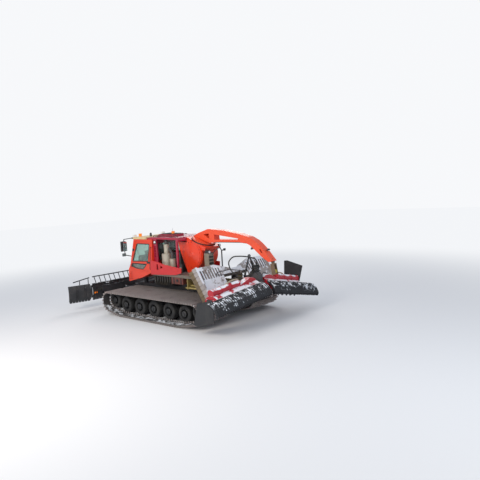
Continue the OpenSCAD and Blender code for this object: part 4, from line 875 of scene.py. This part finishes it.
def make_cab_inside():
    bm = bmesh.new()
    floor = 1.651
    for x in (-SEAT_X, SEAT_X):
        block(bm, (x - 0.09, -1.50, floor), (x + 0.09, -1.28, floor + 0.17))
        block(bm, (x - 0.20, -1.58, floor + 0.15), (x + 0.20, -1.24, floor + 0.185))
        for s in (-1, 1):
            arm = x + s * 0.215
            route = [(arm, -1.26, 1.84), (arm, -1.17, 2.02), (arm, -1.14, 2.10), (arm, -1.45, 2.10)]
            pipe(bm, route, 0.014, bend=0.05, sides=10)
            block(bm, (arm - 0.03, -1.46, 2.10), (arm + 0.03, -1.18, 2.135))
    # dashboard, screens and the middle console
    dash = [(-2.09, floor), (-1.96, floor), (-1.90, 1.98), (-1.93, 2.04), (-1.99, 2.07), (-2.08, 2.00),
            (-2.11, 1.98)]
    slab(bm, dash, -0.62, 0.62)
    block(bm, (-0.15, -1.56, floor), (0.15, -1.48, floor + 0.06))
    block(bm, (-0.09, -1.66, floor), (0.09, -1.22, 1.95))
    block(bm, (0.16, -1.925, 2.02), (0.40, -1.895, 2.19), Matrix.Rotation(0.25, 4, "X"), finish=1)
    block(bm, (-0.46, -1.935, 2.02), (-0.26, -1.905, 2.16), Matrix.Rotation(0.25, 4, "X"), finish=1)
    # steering wheel on its column, and two levers
    column, hub = Vector((SEAT_X, -1.95, 1.92)), Vector((SEAT_X, -1.80, 2.12))
    bar(bm, column, hub, 0.022, sides=12)
    way = (hub - column).normalized()
    side = way.orthogonal().normalized()
    over = way.cross(side)
    ring = [hub + side * 0.17 * math.cos(a) + over * 0.17 * math.sin(a) for a in turns(28)]
    sweep(bm, circle(0.013, 8), along(ring, closed=True), closed=True)
    for a in (0.5, 2.6, 4.7):
        bar(bm, hub, hub + side * 0.17 * math.cos(a) + over * 0.17 * math.sin(a), 0.010, sides=8)
    for x in (-0.03, 0.05):
        bar(bm, (x, -1.52, 1.95), (x + 0.01, -1.55, 2.08), 0.009, sides=8)
        bar(bm, (x + 0.01, -1.55, 2.07), (x + 0.012, -1.556, 2.13), 0.022, 0.016, sides=12)
    made = piece("cab_fittings", bm, [plastic_black, mirror_face], "chassis", bevel=0.004)
    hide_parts("cab_interior")
    upright = math.radians(98)
    for x, name in ((-SEAT_X, "right"), (SEAT_X, "left")):
        cushion("seat_cushion_" + name, (x, -1.40, 1.895), (0.46, 0.44, 0.115), 0.018, (-0.35, 0.35))
        cushion("seat_back_" + name, (x, -1.155, 2.215), (0.42, 0.60, 0.095), 0.016, (-0.5, 0, 0.5), upright)
        cushion("head_rest_" + name, (x, -1.095, 2.565), (0.25, 0.13, 0.08), 0.010, tilt=upright)


make_cab_inside()


# Engine bay: hood lines, hatch, silencer clamps and the pipes round the engine
def make_hood_trim():
    bm = bmesh.new()
    # dark hatch skin with its slats
    block(bm, (-0.115, -1.04, 2.8685), (0.415, -0.245, 2.876))
    for i in range(9):
        y = -0.96 + i * 0.075
        block(bm, (-0.07, y, 2.874), (0.37, y + 0.045, 2.888), Matrix.Rotation(0.25, 4, "X"))
    for x in (-0.06, 0.36):
        bar(bm, (x - 0.03, -0.252, 2.872), (x + 0.03, -0.252, 2.872), 0.014, sides=12)
    # seams of the hood's panels
    for x in (-0.56, 0.56):
        block(bm, (x - 0.004, -1.20, 2.788), (x + 0.004, 0.37, 2.7925))
    for y in (-1.15, -0.20, 0.10):
        block(bm, (-0.735, y - 0.004, 2.788), (0.735, y + 0.004, 2.7925))
    # latches on both edges, and the rail along the left one
    for s in (-1, 1):
        for y in (-0.75, -0.05):
            block(bm, (s * 0.70 - 0.03, y - 0.05, 2.79), (s * 0.70 + 0.03, y + 0.05, 2.806))
    pipe(bm, [(0.66, -1.05, 2.79), (0.66, -1.05, 2.84), (0.66, 0.25, 2.84), (0.66, 0.25, 2.79)], 0.012,
         bend=0.04, sides=10)
    piece("hood_trim", bm, trim_grey, "chassis", bevel=0.002, segments=1)
    # lamp on the hood's front post, with its bracket
    bm = bmesh.new()
    work_lamp(bm, (0.83, -0.80, 2.62), (0.09, 0.11, 0.06), (0.75, 0.6, -0.1))
    block(bm, (0.80, -0.825, 2.60), (0.815, -0.775, 2.66))
    piece("hood_lamp", bm, [plastic_black, lamp_glass], "chassis", bevel=0.002, segments=1)


make_hood_trim()


def make_engine_trim():
    bm = bmesh.new()
    # clamps, elbow and feet of the silencers
    main, second = (0.60, -0.43), (0.65, -0.08)
    clamps = [(main, 0.189, z, 0.03, 48) for z in (1.60, 1.88, 2.12)]
    clamps += [(main, 0.103, z, 0.025, 36) for z in (2.24, 2.44)]
    clamps += [(second, 0.111, z, 0.025, 36) for z in (1.62, 1.92)]
    for at, r, z, wide, steps in clamps:
        lathe_upright(bm, at, [(r, z), (r + 0.007, z), (r + 0.007, z + wide), (r, z + wide)], steps)
    elbow = [(*second, 2.02), (*second, 2.16), (0.60, -0.22, 2.32), (0.56, -0.35, 2.36)]
    pipe(bm, elbow, 0.045, bend=0.12, sides=20, finish=1)
    lathe_upright(bm, main, [(0.100, 2.53), (0.06, 2.56), (0.06, 2.70), (0.0, 2.70), (0.0, 2.53)], 36, 1)
    for x in (0.47, 0.73):
        bar(bm, (x, -0.55, 1.58), (x, -0.55, 1.66), 0.010, sides=6)
    piece("silencer_trim", bm, [silver_metal, iron], "chassis", bevel=0.0015, segments=1)
    bm = bmesh.new()
    # sump flange, manifold and its ports, hoses and filters on the engine's flanks
    flank = (0.398, 0.44)
    for s in (-1, 1):
        side_block(bm, s, flank, (-0.74, 0.02), (1.62, 1.66))
        side_block(bm, s, flank, (-0.70, -0.02), (2.02, 2.09))
        for i in range(6):
            y = -0.66 + i * 0.12
            side_block(bm, s, flank, (y, y + 0.07), (1.72, 1.95))
    for i in range(4):
        y, z = -0.08 - i * 0.04, 1.90 - i * 0.07
        route = [(0.40, y, z), (0.47, y, z), (0.48, -0.02, 1.80 - i * 0.06), (0.48, 0.10, 1.75 - i * 0.05),
                 (0.44, 0.16, 1.56)]
        pipe(bm, route, 0.018, bend=0.06, sides=10, finish=1)
    bar(bm, (0.47, 0.16, 1.54), (0.47, 0.16, 1.76), 0.055, sides=28)
    bar(bm, (0.47, 0.16, 1.76), (0.47, 0.16, 1.79), 0.060, sides=28)
    bar(bm, (0.55, 0.20, 1.52), (0.55, 0.20, 1.70), 0.045, sides=28, finish=2)
    # belt pulleys at the front of the engine
    for x, z, r in ((0.0, 1.66, 0.13), (-0.20, 1.92, 0.07), (0.18, 1.95, 0.08)):
        pulley = [(-0.78, 0.0), (-0.78, r), (-0.79, r - 0.010), (-0.80, r), (-0.81, r * 0.6), (-0.81, 0.0)]
        lathe_along(bm, (x, z), pulley, 32)
    piece("engine_trim", bm, [iron, hose_black, silver_metal], "chassis", bevel=0.003, segments=1)


make_engine_trim()


def make_hose_trim():
    # ribs round the intake hoses
    bm = bmesh.new()
    bend_r, leg, half = 0.12, 0.20, 0.006
    for s in (-1, 1):
        turn = Matrix.Rotation(math.radians(90 - 15 * s), 3, "Z")
        for i in range(7):
            top = Vector((s * 0.805, -0.84 + i * 0.132, 1.4097))
            # round the bend, then up both legs
            for k in range(13):
                a = math.pi * k / 12
                c = top + turn @ Vector((bend_r * math.cos(a), 0, -leg - bend_r * math.sin(a)))
                way = turn @ Vector((-math.sin(a), 0, -math.cos(a))) * half
                bar(bm, c - way, c + way, 0.0465, sides=16)
            for x in (-bend_r, bend_r):
                for q in (0.02, 0.06, 0.10, 0.14, 0.18):
                    c = top + turn @ Vector((x, 0, -q))
                    bar(bm, c - Vector((0, 0, half)), c + Vector((0, 0, half)), 0.0465, sides=16)
    piece("hose_ribs", bm, hose_black, "chassis", smooth=50)


make_hose_trim()


# Winch: its round covers, bolts, pipes and lamps. The slewing ring leans back
RING_TILT = math.radians(21)
RING_UP = Vector((0, math.sin(RING_TILT), math.cos(RING_TILT)))


def on_ring(h):
    return Vector((0, 0.905, 2.645)) + RING_UP * h


def make_winch_trim():
    bm = bmesh.new()
    drum_at = (0.69, 2.16)
    for s in (-1, 1):
        # bolts of the round covers, and the hub cap
        bolts(bm, (s * 0.430, *drum_at), (s, 0, 0), 0.452, 18, r=0.011, h=0.010, finish=1)
        cover = [(0.444, 0.415), (0.448, 0.405), (0.448, 0.30), (0.456, 0.285), (0.456, 0.12),
                 (0.474, 0.105), (0.474, 0.0), (0.434, 0.0), (0.434, 0.415)]
        lathe(bm, [(s * x, r) for x, r in cover], *drum_at, 56)
        bolts(bm, (s * 0.474, *drum_at), (s, 0, 0), 0.075, 6, r=0.009, h=0.008, finish=1)
    piece("winch_covers", bm, [orange_paint, black_steel], "chassis", bevel=0.0015,
          segments=1)
    bm = bmesh.new()
    # bolts of the slewing ring on its base
    bolts(bm, on_ring(-0.040), RING_UP, 0.442, 28, r=0.009, h=0.012)
    # pipes over the valve column, its valves and the hoses from them
    for i, x in enumerate((0.16, 0.22, 0.28, 0.34)):
        route = [(x, 1.33, 2.235), (x, 1.33, 2.32 + 0.02 * i), (x - 0.03, 1.25, 2.40 + 0.015 * i),
                 (x - 0.05, 1.15, 2.36)]
        pipe(bm, route, 0.013, bend=0.06, sides=10)
    for i in range(5):
        z = 1.62 + i * 0.11
        block(bm, (0.15, 1.468, z), (0.355, 1.482, z + 0.07))
        for x in (0.20, 0.30):
            bar(bm, (x, 1.482, z + 0.035), (x, 1.51, z + 0.035), 0.014, sides=12)
    for route, r, bend in (
            ([(0.20, 1.505, 1.66), (0.20, 1.56, 1.66), (0.20, 1.62, 1.56), (0.20, 1.62, 1.51)], 0.012, 0.05),
            ([(0.30, 1.505, 1.76), (0.30, 1.58, 1.76), (0.30, 1.68, 1.60), (0.30, 1.68, 1.51)], 0.012, 0.05),
            ([(0.11, 1.85, 2.31), (0.05, 1.70, 2.42), (0.10, 1.52, 2.30), (0.17, 1.47, 2.16)], 0.013, 0.12)):
        pipe(bm, route, r, bend=bend, sides=10)
    piece("winch_pipes", bm, hose_black, "chassis", smooth=50)
    bm = bmesh.new()
    block(bm, (0.128, 1.258, 1.55), (0.377, 1.472, 2.22))
    piece("valve_cover", bm, column_paint, "chassis", bevel=0.004)
    bm = bmesh.new()
    bar(bm, (0.33, 1.478, 2.27), (0.33, 1.486, 2.27), 0.042, sides=28)
    block(bm, (0.128, 1.822, 2.485), (0.182, 1.829, 2.525))
    piece("winch_lamps", bm, lamp_glass, "chassis", bevel=0.001, segments=1)


make_winch_trim()


# The boom's outline and openings on its side, as (y, z)
BOOM_TOP = [(1.25, 3.05), (2.0, 3.0), (2.6, 2.905), (3.08, 2.8), (3.32, 2.69), (3.48, 2.575), (3.70, 2.38)]
BOOM_UNDERSIDE = [(1.66, 2.60), (2.68, 2.615), (3.01, 2.58), (3.15, 2.52), (3.30, 2.41), (3.60, 2.17),
                  (3.84, 2.03)]
BOOM_OPENINGS = [[(1.54, 2.87), (2.66, 2.742), (2.62, 2.685), (1.56, 2.676)],
                 [(1.02, 2.86), (1.30, 2.90), (1.31, 2.70)],
                 [(3.52, 2.40), (3.57, 2.43), (3.65, 2.31), (3.60, 2.28)]]


def make_boom_trim():
    bm = bmesh.new()
    # flanges along the top and bottom chords on both faces
    for s in (-1, 1):
        for line, inset in ((BOOM_TOP, 0.012), (BOOM_UNDERSIDE, -0.012)):
            rod_strip(bm, [Vector((s * 0.131, y, z - inset)) for y, z in line], 0.004, 0.010)
        # rims round the openings
        for outline in BOOM_OPENINGS:
            strip(bm, [(s * 0.131, y, z) for y, z in outline], (s, 0, 0), 0.008, 0.014, radius=0.015)
    piece("boom_welds", bm, boom_paint, "winch_boom", smooth=50)
    bm = bmesh.new()
    # two hoses under the boom in their clips, and the ring's bolts
    bolts(bm, on_ring(0.023), RING_UP, 0.395, 24, r=0.009, h=0.012)
    for y, z in ((1.62, 2.59), (2.05, 2.604), (2.50, 2.608)):
        block(bm, (-0.04, y, z - 0.022), (0.04, y + 0.03, z + 0.004))
    for x, r, ends in ((0.02, 0.012, [(3.02, 2.565), (3.12, 2.50)]), (-0.02, 0.010, [(3.00, 2.568)])):
        route = [(1.42, 2.575), (1.66, 2.585), (2.66, 2.597)] + ends
        pipe(bm, [(x, y, z) for y, z in route], r, bend=0.06, sides=10)
    piece("boom_hoses", bm, hose_black, "winch_boom", smooth=50)
    bm = bmesh.new()
    work_lamp(bm, (0, 3.13, 2.41), (0.10, 0.09, 0.06), (0, 0.3, -1.0))
    block(bm, (-0.012, 3.10, 2.44), (0.012, 3.16, 2.54))
    work_lamp(bm, (0.0, 3.80, 2.39), (0.09, 0.07, 0.055), (0, 0.5, -1.0))
    block(bm, (-0.012, 3.69, 2.36), (0.012, 3.80, 2.385))
    piece("boom_lamps", bm, [plastic_black, lamp_glass], "winch_boom", bevel=0.002, segments=1)
    # the swivel's collar, and the bolts of the rope head
    bm = bmesh.new()
    tilt = math.radians(10)
    down = Vector((0, math.sin(tilt), -math.cos(tilt)))
    head = Vector((0, 3.95, 2.02))
    bar(bm, head - down * 0.001, head + down * 0.022, 0.072, sides=32)
    piece("boom_collar", bm, black_steel, "winch_boom", bevel=0.002)
    bm = bmesh.new()
    across = Vector((0, math.cos(tilt), math.sin(tilt)))
    for s in (-1, 1):
        for d, h in ((-0.045, 0.13), (0.045, 0.13), (-0.045, 0.38), (0.045, 0.38)):
            c = head + across * d + down * h + Vector((s * 0.070, 0, 0))
            bar(bm, c, c + Vector((s * 0.008, 0, 0)), 0.012, sides=6)
        c = head + down * 0.33 + Vector((s * 0.070, 0, 0))
        bar(bm, c, c + Vector((s * 0.014, 0, 0)), 0.026, sides=24)
    piece("head_bolts", bm, head_steel, "head", bevel=0.001, segments=1)
    # rope turns on the sheave
    bm = bmesh.new()
    hub = head + down * 0.33
    for x in (-0.015, 0.0, 0.015):
        ring = [(x, hub.y + 0.0575 * math.cos(a), hub.z + 0.0575 * math.sin(a)) for a in turns(32)]
        sweep(bm, circle(0.0075, 8), along(ring, closed=True), closed=True)
    piece("sheave_rope", bm, rope_yellow, "sheaves", smooth=60)


make_boom_trim()


# Deck, guard and the parts behind it
def make_deck_trim():
    bm = bmesh.new()
    for s in (-1, 1):
        for j in range(7):
            y = 0.80 + j * 0.145
            side_block(bm, s, (0.45, 0.76), (y, y + 0.018), (1.500, 1.508))
        for j in range(6):
            x = s * (0.45 + j * 0.062)
            block(bm, (x - 0.006, 0.80, 1.500), (x + 0.006, 1.688, 1.506))
        # edge of the deck and its fasteners
        side_block(bm, s, (0.985, 1.0), (0.74, 1.98), (1.500, 1.515))
        for j in range(8):
            bar(bm, (s * 1.0, 0.80 + j * 0.16, 1.455), (s * 1.008, 0.80 + j * 0.16, 1.455), 0.012, sides=6)
        # tie-down studs at the rear corners
        for y in (1.70, 1.90):
            bar(bm, (s * 0.85, y, 1.511), (s * 0.85, y, 1.514), 0.016, sides=20)
    piece("deck_grating", bm, deck_steel, "chassis", bevel=0.0015, segments=1)
    # belts of plate round the side tanks, and the filler caps
    bm = bmesh.new()
    for s in (-1, 1):
        for y in (0.24, 0.60):
            side_block(bm, s, (0.956, 0.962), (y, y + 0.05), (1.172, 1.408))
        bar(bm, (s * 0.955, 0.44, 1.30), (s * 0.975, 0.44, 1.30), 0.05, sides=28)
    piece("tank_straps", bm, black_steel, "chassis", bevel=0.002, segments=1)


make_deck_trim()

GUARD_FOOT, GUARD_TOP = Vector((0, 2.69, 0.93)), Vector((0, 2.08, 1.90))
GUARD_UP = (GUARD_TOP - GUARD_FOOT).normalized()
GUARD_OUT = Vector((0, -GUARD_UP.z, GUARD_UP.y)) * -1
GUARD_PLACE = Matrix((Vector((1, 0, 0)), GUARD_UP, GUARD_OUT)).transposed().to_4x4()
GUARD_PLACE.translation = GUARD_FOOT


def make_guard_trim():
    bm = bmesh.new()
    # folded rim along the top, stiffeners and bolt rows on the rear face
    for s in (-1, 1):
        for a, b in (((0.36, 0.988), (0.82, 1.128)), ((0.84, 1.128), (1.71, 1.118))):
            way = Vector((b[0] - a[0], b[1] - a[1], 0))
            middle = Matrix.Translation((s * (a[0] + b[0]) / 2, (a[1] + b[1]) / 2, -0.03))
            turn = Matrix.Rotation(s * math.atan2(way.y, way.x), 4, "Z")
            rim = block(bm, (-way.length / 2, -0.012, -0.036), (way.length / 2, 0.010, 0.042))
            bmesh.ops.transform(bm, matrix=middle @ turn, verts=rim)
        for x in (0.80, 1.15, 1.50):
            side_block(bm, s, (x, x + 0.03), (0.02, 0.50), (-0.001, 0.022))
        for j in range(9):
            x = s * (0.72 + j * 0.12)
            for y in (0.06, 0.60):
                bar(bm, (x, y, -0.001), (x, y, 0.009), 0.012, sides=6)
    bmesh.ops.transform(bm, matrix=GUARD_PLACE, verts=bm.verts)
    piece("guard_ribs", bm, guard_steel, "chassis", bevel=0.0015, segments=1)
    # skin of the end beams in a brown that is painted light: it stands in for warm sunlight on their faces
    bm = bmesh.new()
    for s in (-1, 1):
        side_block(bm, s, (1.721, 1.8005), (0.004, 1.107), (-0.180, 0.0012))
        for i in range(7):
            y = 0.059 + i * 0.155
            side_block(bm, s, (1.799, 1.818), (y, y + 0.026), (-0.171, 0.031))
    bmesh.ops.transform(bm, matrix=GUARD_PLACE, verts=bm.verts)
    piece("guard_beam_sunlit_skin", bm, beam_sunlit_brown, "chassis", bevel=0.0015, segments=1)
    # rear lamps high on the guard
    bm = bmesh.new()
    for s in (-1, 1):
        side_block(bm, s, (1.45, 1.60), (0.885, 0.925), (-0.001, 0.028))
    bmesh.ops.transform(bm, matrix=GUARD_PLACE, verts=bm.verts)
    piece("guard_lamps", bm, red_lens, "chassis", bevel=0.006)


make_guard_trim()


# Blade and wings: cutting edges with their bolts, wear bars, hoses and marker lamps
def blade_face(z, r=0.96):
    return -4.75 + math.sqrt(r * r - (z - 0.69) ** 2)


def wear_bars(bm, places):
    for x in places:
        path = [Vector((x, blade_face(z) - 0.006, z)) for z in (0.52, 0.60, 0.69, 0.78, 0.86, 0.94)]
        rod_strip(bm, path, 0.02, 0.008)


def edge_strip(bm, x0, x1, count):
    low, high, top = blade_face(0.385), blade_face(0.49), blade_face(0.50)
    section = [(low - 0.001, 0.385), (low - 0.016, 0.385), (high - 0.016, 0.48), (top + 0.001, 0.50)]
    slab(bm, section, x0, x1)
    y, z = blade_face(0.44), 0.44
    for i in range(count):
        x = x0 + (x1 - x0) * (i + 0.5) / count
        bar(bm, (x, y - 0.004, z), (x, y - 0.024, z), 0.016, sides=6, finish=1)


def make_blade_trim():
    bm = bmesh.new()
    edge_strip(bm, -1.645, 1.645, 22)
    wear_bars(bm, (-1.62, -1.1, -0.55, 0.0, 0.55, 1.1, 1.62))
    piece("blade_edge", bm, [shoe_metal, black_steel], "front_blade", bevel=0.002, segments=1)
    bm = bmesh.new()
    for s in (-1, 1):
        side_block(bm, s, (1.49, 1.61), (-3.755, -3.716), (0.60, 0.66))
    piece("blade_markers", bm, amber, "front_blade", bevel=0.006)
    # hoses along the back of the blade
    bm = bmesh.new()
    for s in (-1, 1):
        for z in (0.80, 0.76):
            route = [(0.30, -3.66, z + 0.06), (0.36, -3.60, z + 0.08), (0.62, -3.64, z), (1.24, -3.66, z),
                     (1.40, -3.69, z - 0.03), (1.58, -3.70, z - 0.06)]
            pipe(bm, [(s * x, y, h) for x, y, h in route], 0.013, bend=0.08, sides=10)
        for x in (0.70, 1.10):
            side_block(bm, s, (x, x + 0.03), (-3.68, -3.625), (0.735, 0.83))
    piece("blade_hoses", bm, hose_black, "front_blade", smooth=50)
    for side, mirrored in SIDES:
        bm = bmesh.new()
        edge_strip(bm, 1.76, 2.595, 6)
        wear_bars(bm, (2.0, 2.3))
        # heads of the hinge pin; the wing rests folded forward about it
        pin = Vector((1.70, -3.795, 0))
        for z in (0.47, 0.90):
            bar(bm, pin + Vector((0, 0, z)), pin + Vector((0, 0, z + 0.012)), 0.022, sides=6, finish=1)
        bmesh.ops.rotate(bm, cent=pin, matrix=Matrix.Rotation(math.radians(-14.8), 3, "Z"), verts=bm.verts)
        if mirrored:
            mirror_all(bm)
        piece("wing_edge_" + side, bm, [shoe_metal, black_steel], side + "_wing", bevel=0.002,
              segments=1)
    bm = bmesh.new()
    for s in (-1, 1):
        for k in range(2):
            x = s * (0.33 + 0.05 * k)
            route = [(x, -2.66, 0.61), (x, -2.72, 0.65), (x - s * 0.03, -2.95, 0.645),
                     (x - s * 0.10, -3.05, 0.66)]
            pipe(bm, route, 0.013, bend=0.1, sides=10)
    piece("frame_hoses", bm, hose_black, "lift_frame", smooth=50)


make_blade_trim()


# Tiller: each half is made level, then drooped about its flex pin
def droop(s, angle):
    pin = Vector((s * 0.15, 0, 1.33))
    turn = Matrix.Rotation(math.radians(s * angle), 4, "Y")
    return Matrix.Translation(pin) @ turn @ Matrix.Translation(-pin)


# (y, z) of the rotor and of the tube over it, and the ends of a half
ROTOR, TUBE = (3.30, 1.11), (3.28, 1.488)
HALF_IN, HALF_OUT = 0.195, 2.23
FINISHER_TOP = [(3.602, 1.353), (3.74, 1.303), (3.852, 1.208), (3.933, 1.082), (3.953, 1.012)]


def hood_arc(a0, a1, steps, r=0.3155):
    angles = [math.radians(a0 + (a1 - a0) * i / steps) for i in range(steps + 1)]
    return [Vector((0, ROTOR[0] + r * math.cos(a), ROTOR[1] + r * math.sin(a))) for a in angles]


def make_tiller_half(side, s, angle, reach):
    body = side + "_tiller"
    place = droop(s, angle)

    def close(bm, name, finish, bevel=0.002, smooth=35):
        if s < 0:
            mirror_all(bm)
        bmesh.ops.transform(bm, matrix=place, verts=bm.verts)
        piece(name + "_" + side, bm, finish, body, bevel=bevel, segments=1, smooth=smooth)

    bm = bmesh.new()
    # ribs round the hood and bolts along its flange
    for x in (0.23, 0.62, 1.05, 1.48, 1.91, 2.20):
        arc = hood_arc(62 if x < 1.0 else 100, 145 if x < 0.4 else 186, 12)
        rod_strip(bm, [p + Vector((x, 0, 0)) for p in arc], 0.007, 0.010)
    for i in range(24):
        x = HALF_IN + 0.05 + i * 0.086
        bar(bm, (x, 3.578, 1.349), (x, 3.578, 1.362), 0.010, sides=6, finish=1)
    # flanges of the tube and the cap on its inner end
    for x in (0.978, 1.35, 1.80, 2.205):
        lathe(bm, [(x, 0.100), (x, 0.122), (x + 0.018, 0.122), (x + 0.018, 0.100)], *TUBE, 36)
    lathe(bm, [(0.972, 0.0), (0.972, 0.09), (0.979, 0.099), (0.990, 0.099), (0.990, 0.0)], *TUBE, 36)
    # saddles under the tube
    for x in (1.10, 1.60, 2.05):
        block(bm, (x - 0.02, ROTOR[0] - 0.10, 1.38), (x + 0.02, ROTOR[0] + 0.08, 1.42))
    close(bm, "tiller_hood_ribs", [tiller_red, black_steel])
    # comb ridges and teeth of the finisher, its clamping strip and bolts
    bm = bmesh.new()
    x0, x1 = 0.13, HALF_OUT + reach
    count = int((x1 - x0) / 0.085)
    for i in range(count):
        x = x0 + 0.02 + i * (x1 - x0 - 0.04) / (count - 1)
        rod_strip(bm, [Vector((x, y, z)) for y, z in FINISHER_TOP], 0.009, 0.011)
        slab(bm, [(3.903, 1.02), (3.948, 1.01), (3.933, 0.935), (3.908, 0.940)], x - 0.016, x + 0.016)
    block(bm, (x0, 3.588, 1.345), (x1 - 0.30, 3.625, 1.362))
    for i in range(int((x1 - 0.3 - x0) / 0.12)):
        x = x0 + 0.06 + i * 0.12
        bar(bm, (x, 3.607, 1.36), (x, 3.607, 1.372), 0.010, sides=6, finish=1)
    close(bm, "finisher_combs", [finisher_rubber, shoe_metal], bevel=0.0)
    # guide hoop over the tube, and the hoses to the rotor's motor
    bm = bmesh.new()
    hoop = [(0.86, 3.20, 1.42), (0.88, 3.22, 1.60), (1.12, 3.26, 1.645), (1.38, 3.26, 1.635),
            (1.56, 3.20, 1.53), (1.58, 3.17, 1.43)]
    pipe(bm, hoop, 0.024, bend=0.16, sides=14)
    close(bm, "tiller_hoop", beige_paint, bevel=0.0, smooth=50)
    bm = bmesh.new()
    outer = [(0.56, 3.13, 1.36), (0.58, 3.06, 1.54), (0.80, 2.99, 1.56), (1.10, 3.00, 1.46),
             (1.40, 3.01, 1.30), (1.42, 3.02, 1.22)]
    inner = [(0.51, 3.13, 1.36), (0.53, 3.04, 1.59), (0.80, 2.96, 1.60), (1.14, 2.975, 1.49),
             (1.46, 3.00, 1.32), (1.48, 3.01, 1.22)]
    for route in (outer, inner):
        pipe(bm, route, 0.016, bend=0.12, sides=10)
    close(bm, "tiller_hoses", hose_black, bevel=0.0, smooth=50)


make_tiller_half("left", 1, 5.0, 0.48)
make_tiller_half("right", -1, 11.5, 0.52)


def make_mount_trim():
    bm = bmesh.new()
    # one big loop over the mount, and the hoses of the valve box
    route = [(-0.33, 3.013, 1.88), (-0.32, 2.99, 2.02), (-0.05, 2.74, 2.13), (0.28, 2.50, 2.15),
             (0.44, 2.42, 1.98), (0.43, 2.50, 1.70), (0.36, 2.76, 1.50), (0.28, 2.94, 1.44)]
    pipe(bm, route, 0.021, bend=0.22, sides=14)
    for i in range(4):
        x = -0.35 + i * 0.055
        z, far = 1.62 + 0.03 * i, x + 0.03 * i
        route = [(x, 3.072, z), (x, 3.15, z), (x + 0.16, 3.24, 1.66 + 0.02 * i), (far + 0.30, 3.16, 1.60),
                 (far + 0.36, 3.02, 1.50), (far + 0.38, 2.98, 1.42)]
        pipe(bm, route, 0.013, bend=0.1, sides=10)
    for i in range(3):
        x = -0.30 + i * 0.05
        route = [(x, 2.96, 1.62), (x, 2.88, 1.62), (x + 0.04, 2.80, 1.50), (x + 0.04, 2.82, 1.36),
                 (x + 0.03, 2.94, 1.30)]
        pipe(bm, route, 0.013, bend=0.08, sides=10)
    piece("mount_hoses", bm, hose_black, "tiller_mount", smooth=50)
    bm = bmesh.new()
    # rail that guides the hoses of the near half
    route = [(0.262, 2.962, 1.60), (0.30, 2.90, 1.70), (0.75, 2.74, 1.80), (1.20, 2.62, 1.76),
             (1.27, 2.64, 1.68), (0.80, 2.80, 1.66), (0.33, 2.93, 1.58), (0.27, 2.962, 1.52)]
    pipe(bm, route, 0.013, bend=0.09, sides=10)
    bar(bm, (0.25, 2.938, 1.57), (0.25, 2.986, 1.57), 0.016, sides=6)
    # rounded legs of the lifting frame
    for a, b in (((0.25, 2.962, 1.56), (0.0, 2.962, 2.11)), ((-0.20, 2.962, 1.83), (-0.035, 2.962, 2.11))):
        bar(bm, a, b, 0.026, 0.020, sides=16)
    for x in (-0.345, -0.29, -0.235, -0.18):
        block(bm, (x - 0.018, 3.070, 1.70), (x + 0.018, 3.098, 1.78))
        bar(bm, (x, 3.084, 1.78), (x, 3.084, 1.81), 0.012, sides=12)
    # bolts of the mount's plate
    for x in (-0.27, 0.27):
        for z in (1.12, 1.30, 1.48):
            bar(bm, (x, 2.975, z), (x, 2.988, z), 0.016, sides=6)
    piece("mount_fittings", bm, black_steel, "tiller_mount", bevel=0.0015, segments=1)
    bm = bmesh.new()
    work_lamp(bm, (-0.155, 3.11, 1.66), (0.10, 0.10, 0.07), (0.75, 0.65, 0.0))
    piece("mount_lamp", bm, [plastic_black, lamp_glass], "tiller_mount", bevel=0.002,
          segments=1)
    bm = bmesh.new()
    # motor and fittings of the middle piece
    for x in (-0.099, 0.085):
        lathe(bm, [(x, 0.09), (x, 0.108), (x + 0.014, 0.108), (x + 0.014, 0.09)], TUBE[0], 1.53, 36)
    for x in (-0.06, 0.0, 0.06):
        bar(bm, (x, 3.28, 1.62), (x, 3.28, 1.66), 0.020, sides=12)
        bar(bm, (x, 3.28, 1.655), (x, 3.28, 1.68), 0.013, sides=6)
    piece("middle_fittings", bm, black_steel, "tiller_middle", bevel=0.0015, segments=1)
    bm = bmesh.new()
    for x in (-0.06, 0.06):
        route = [(x, 3.28, 1.675), (x, 3.28, 1.74), (x * 0.6, 3.20, 1.79), (x * 0.5, 3.09, 1.70),
                 (x * 0.5, 3.075, 1.60)]
        pipe(bm, route, 0.013, bend=0.07, sides=10)
    piece("middle_hoses", bm, hose_black, "tiller_middle", smooth=50)


make_mount_trim()


# Hull: plugs under its floor and the rows of bolts on top
def make_hull_trim():
    bm = bmesh.new()
    for y in (-2.0, -1.4, -0.8, -0.2, 0.4, 1.0, 1.6, 2.1):
        for s in (-1, 1):
            for x in (0.20, 0.46):
                bar(bm, (s * x, y, 1.0), (s * x, y, 1.012), 0.014, sides=6)
    for y in (-1.5, 0.0, 1.5):
        bar(bm, (0, y, 0.331), (0, y, 0.322), 0.10, sides=32)
        for a in turns(8):
            p = Vector((0.08 * math.cos(a), y + 0.08 * math.sin(a), 0.323))
            bar(bm, p, p - Vector((0, 0, 0.01)), 0.010, sides=6)
    piece("hull_bolts", bm, black_steel, "chassis", bevel=0.001, segments=1)


make_hull_trim()
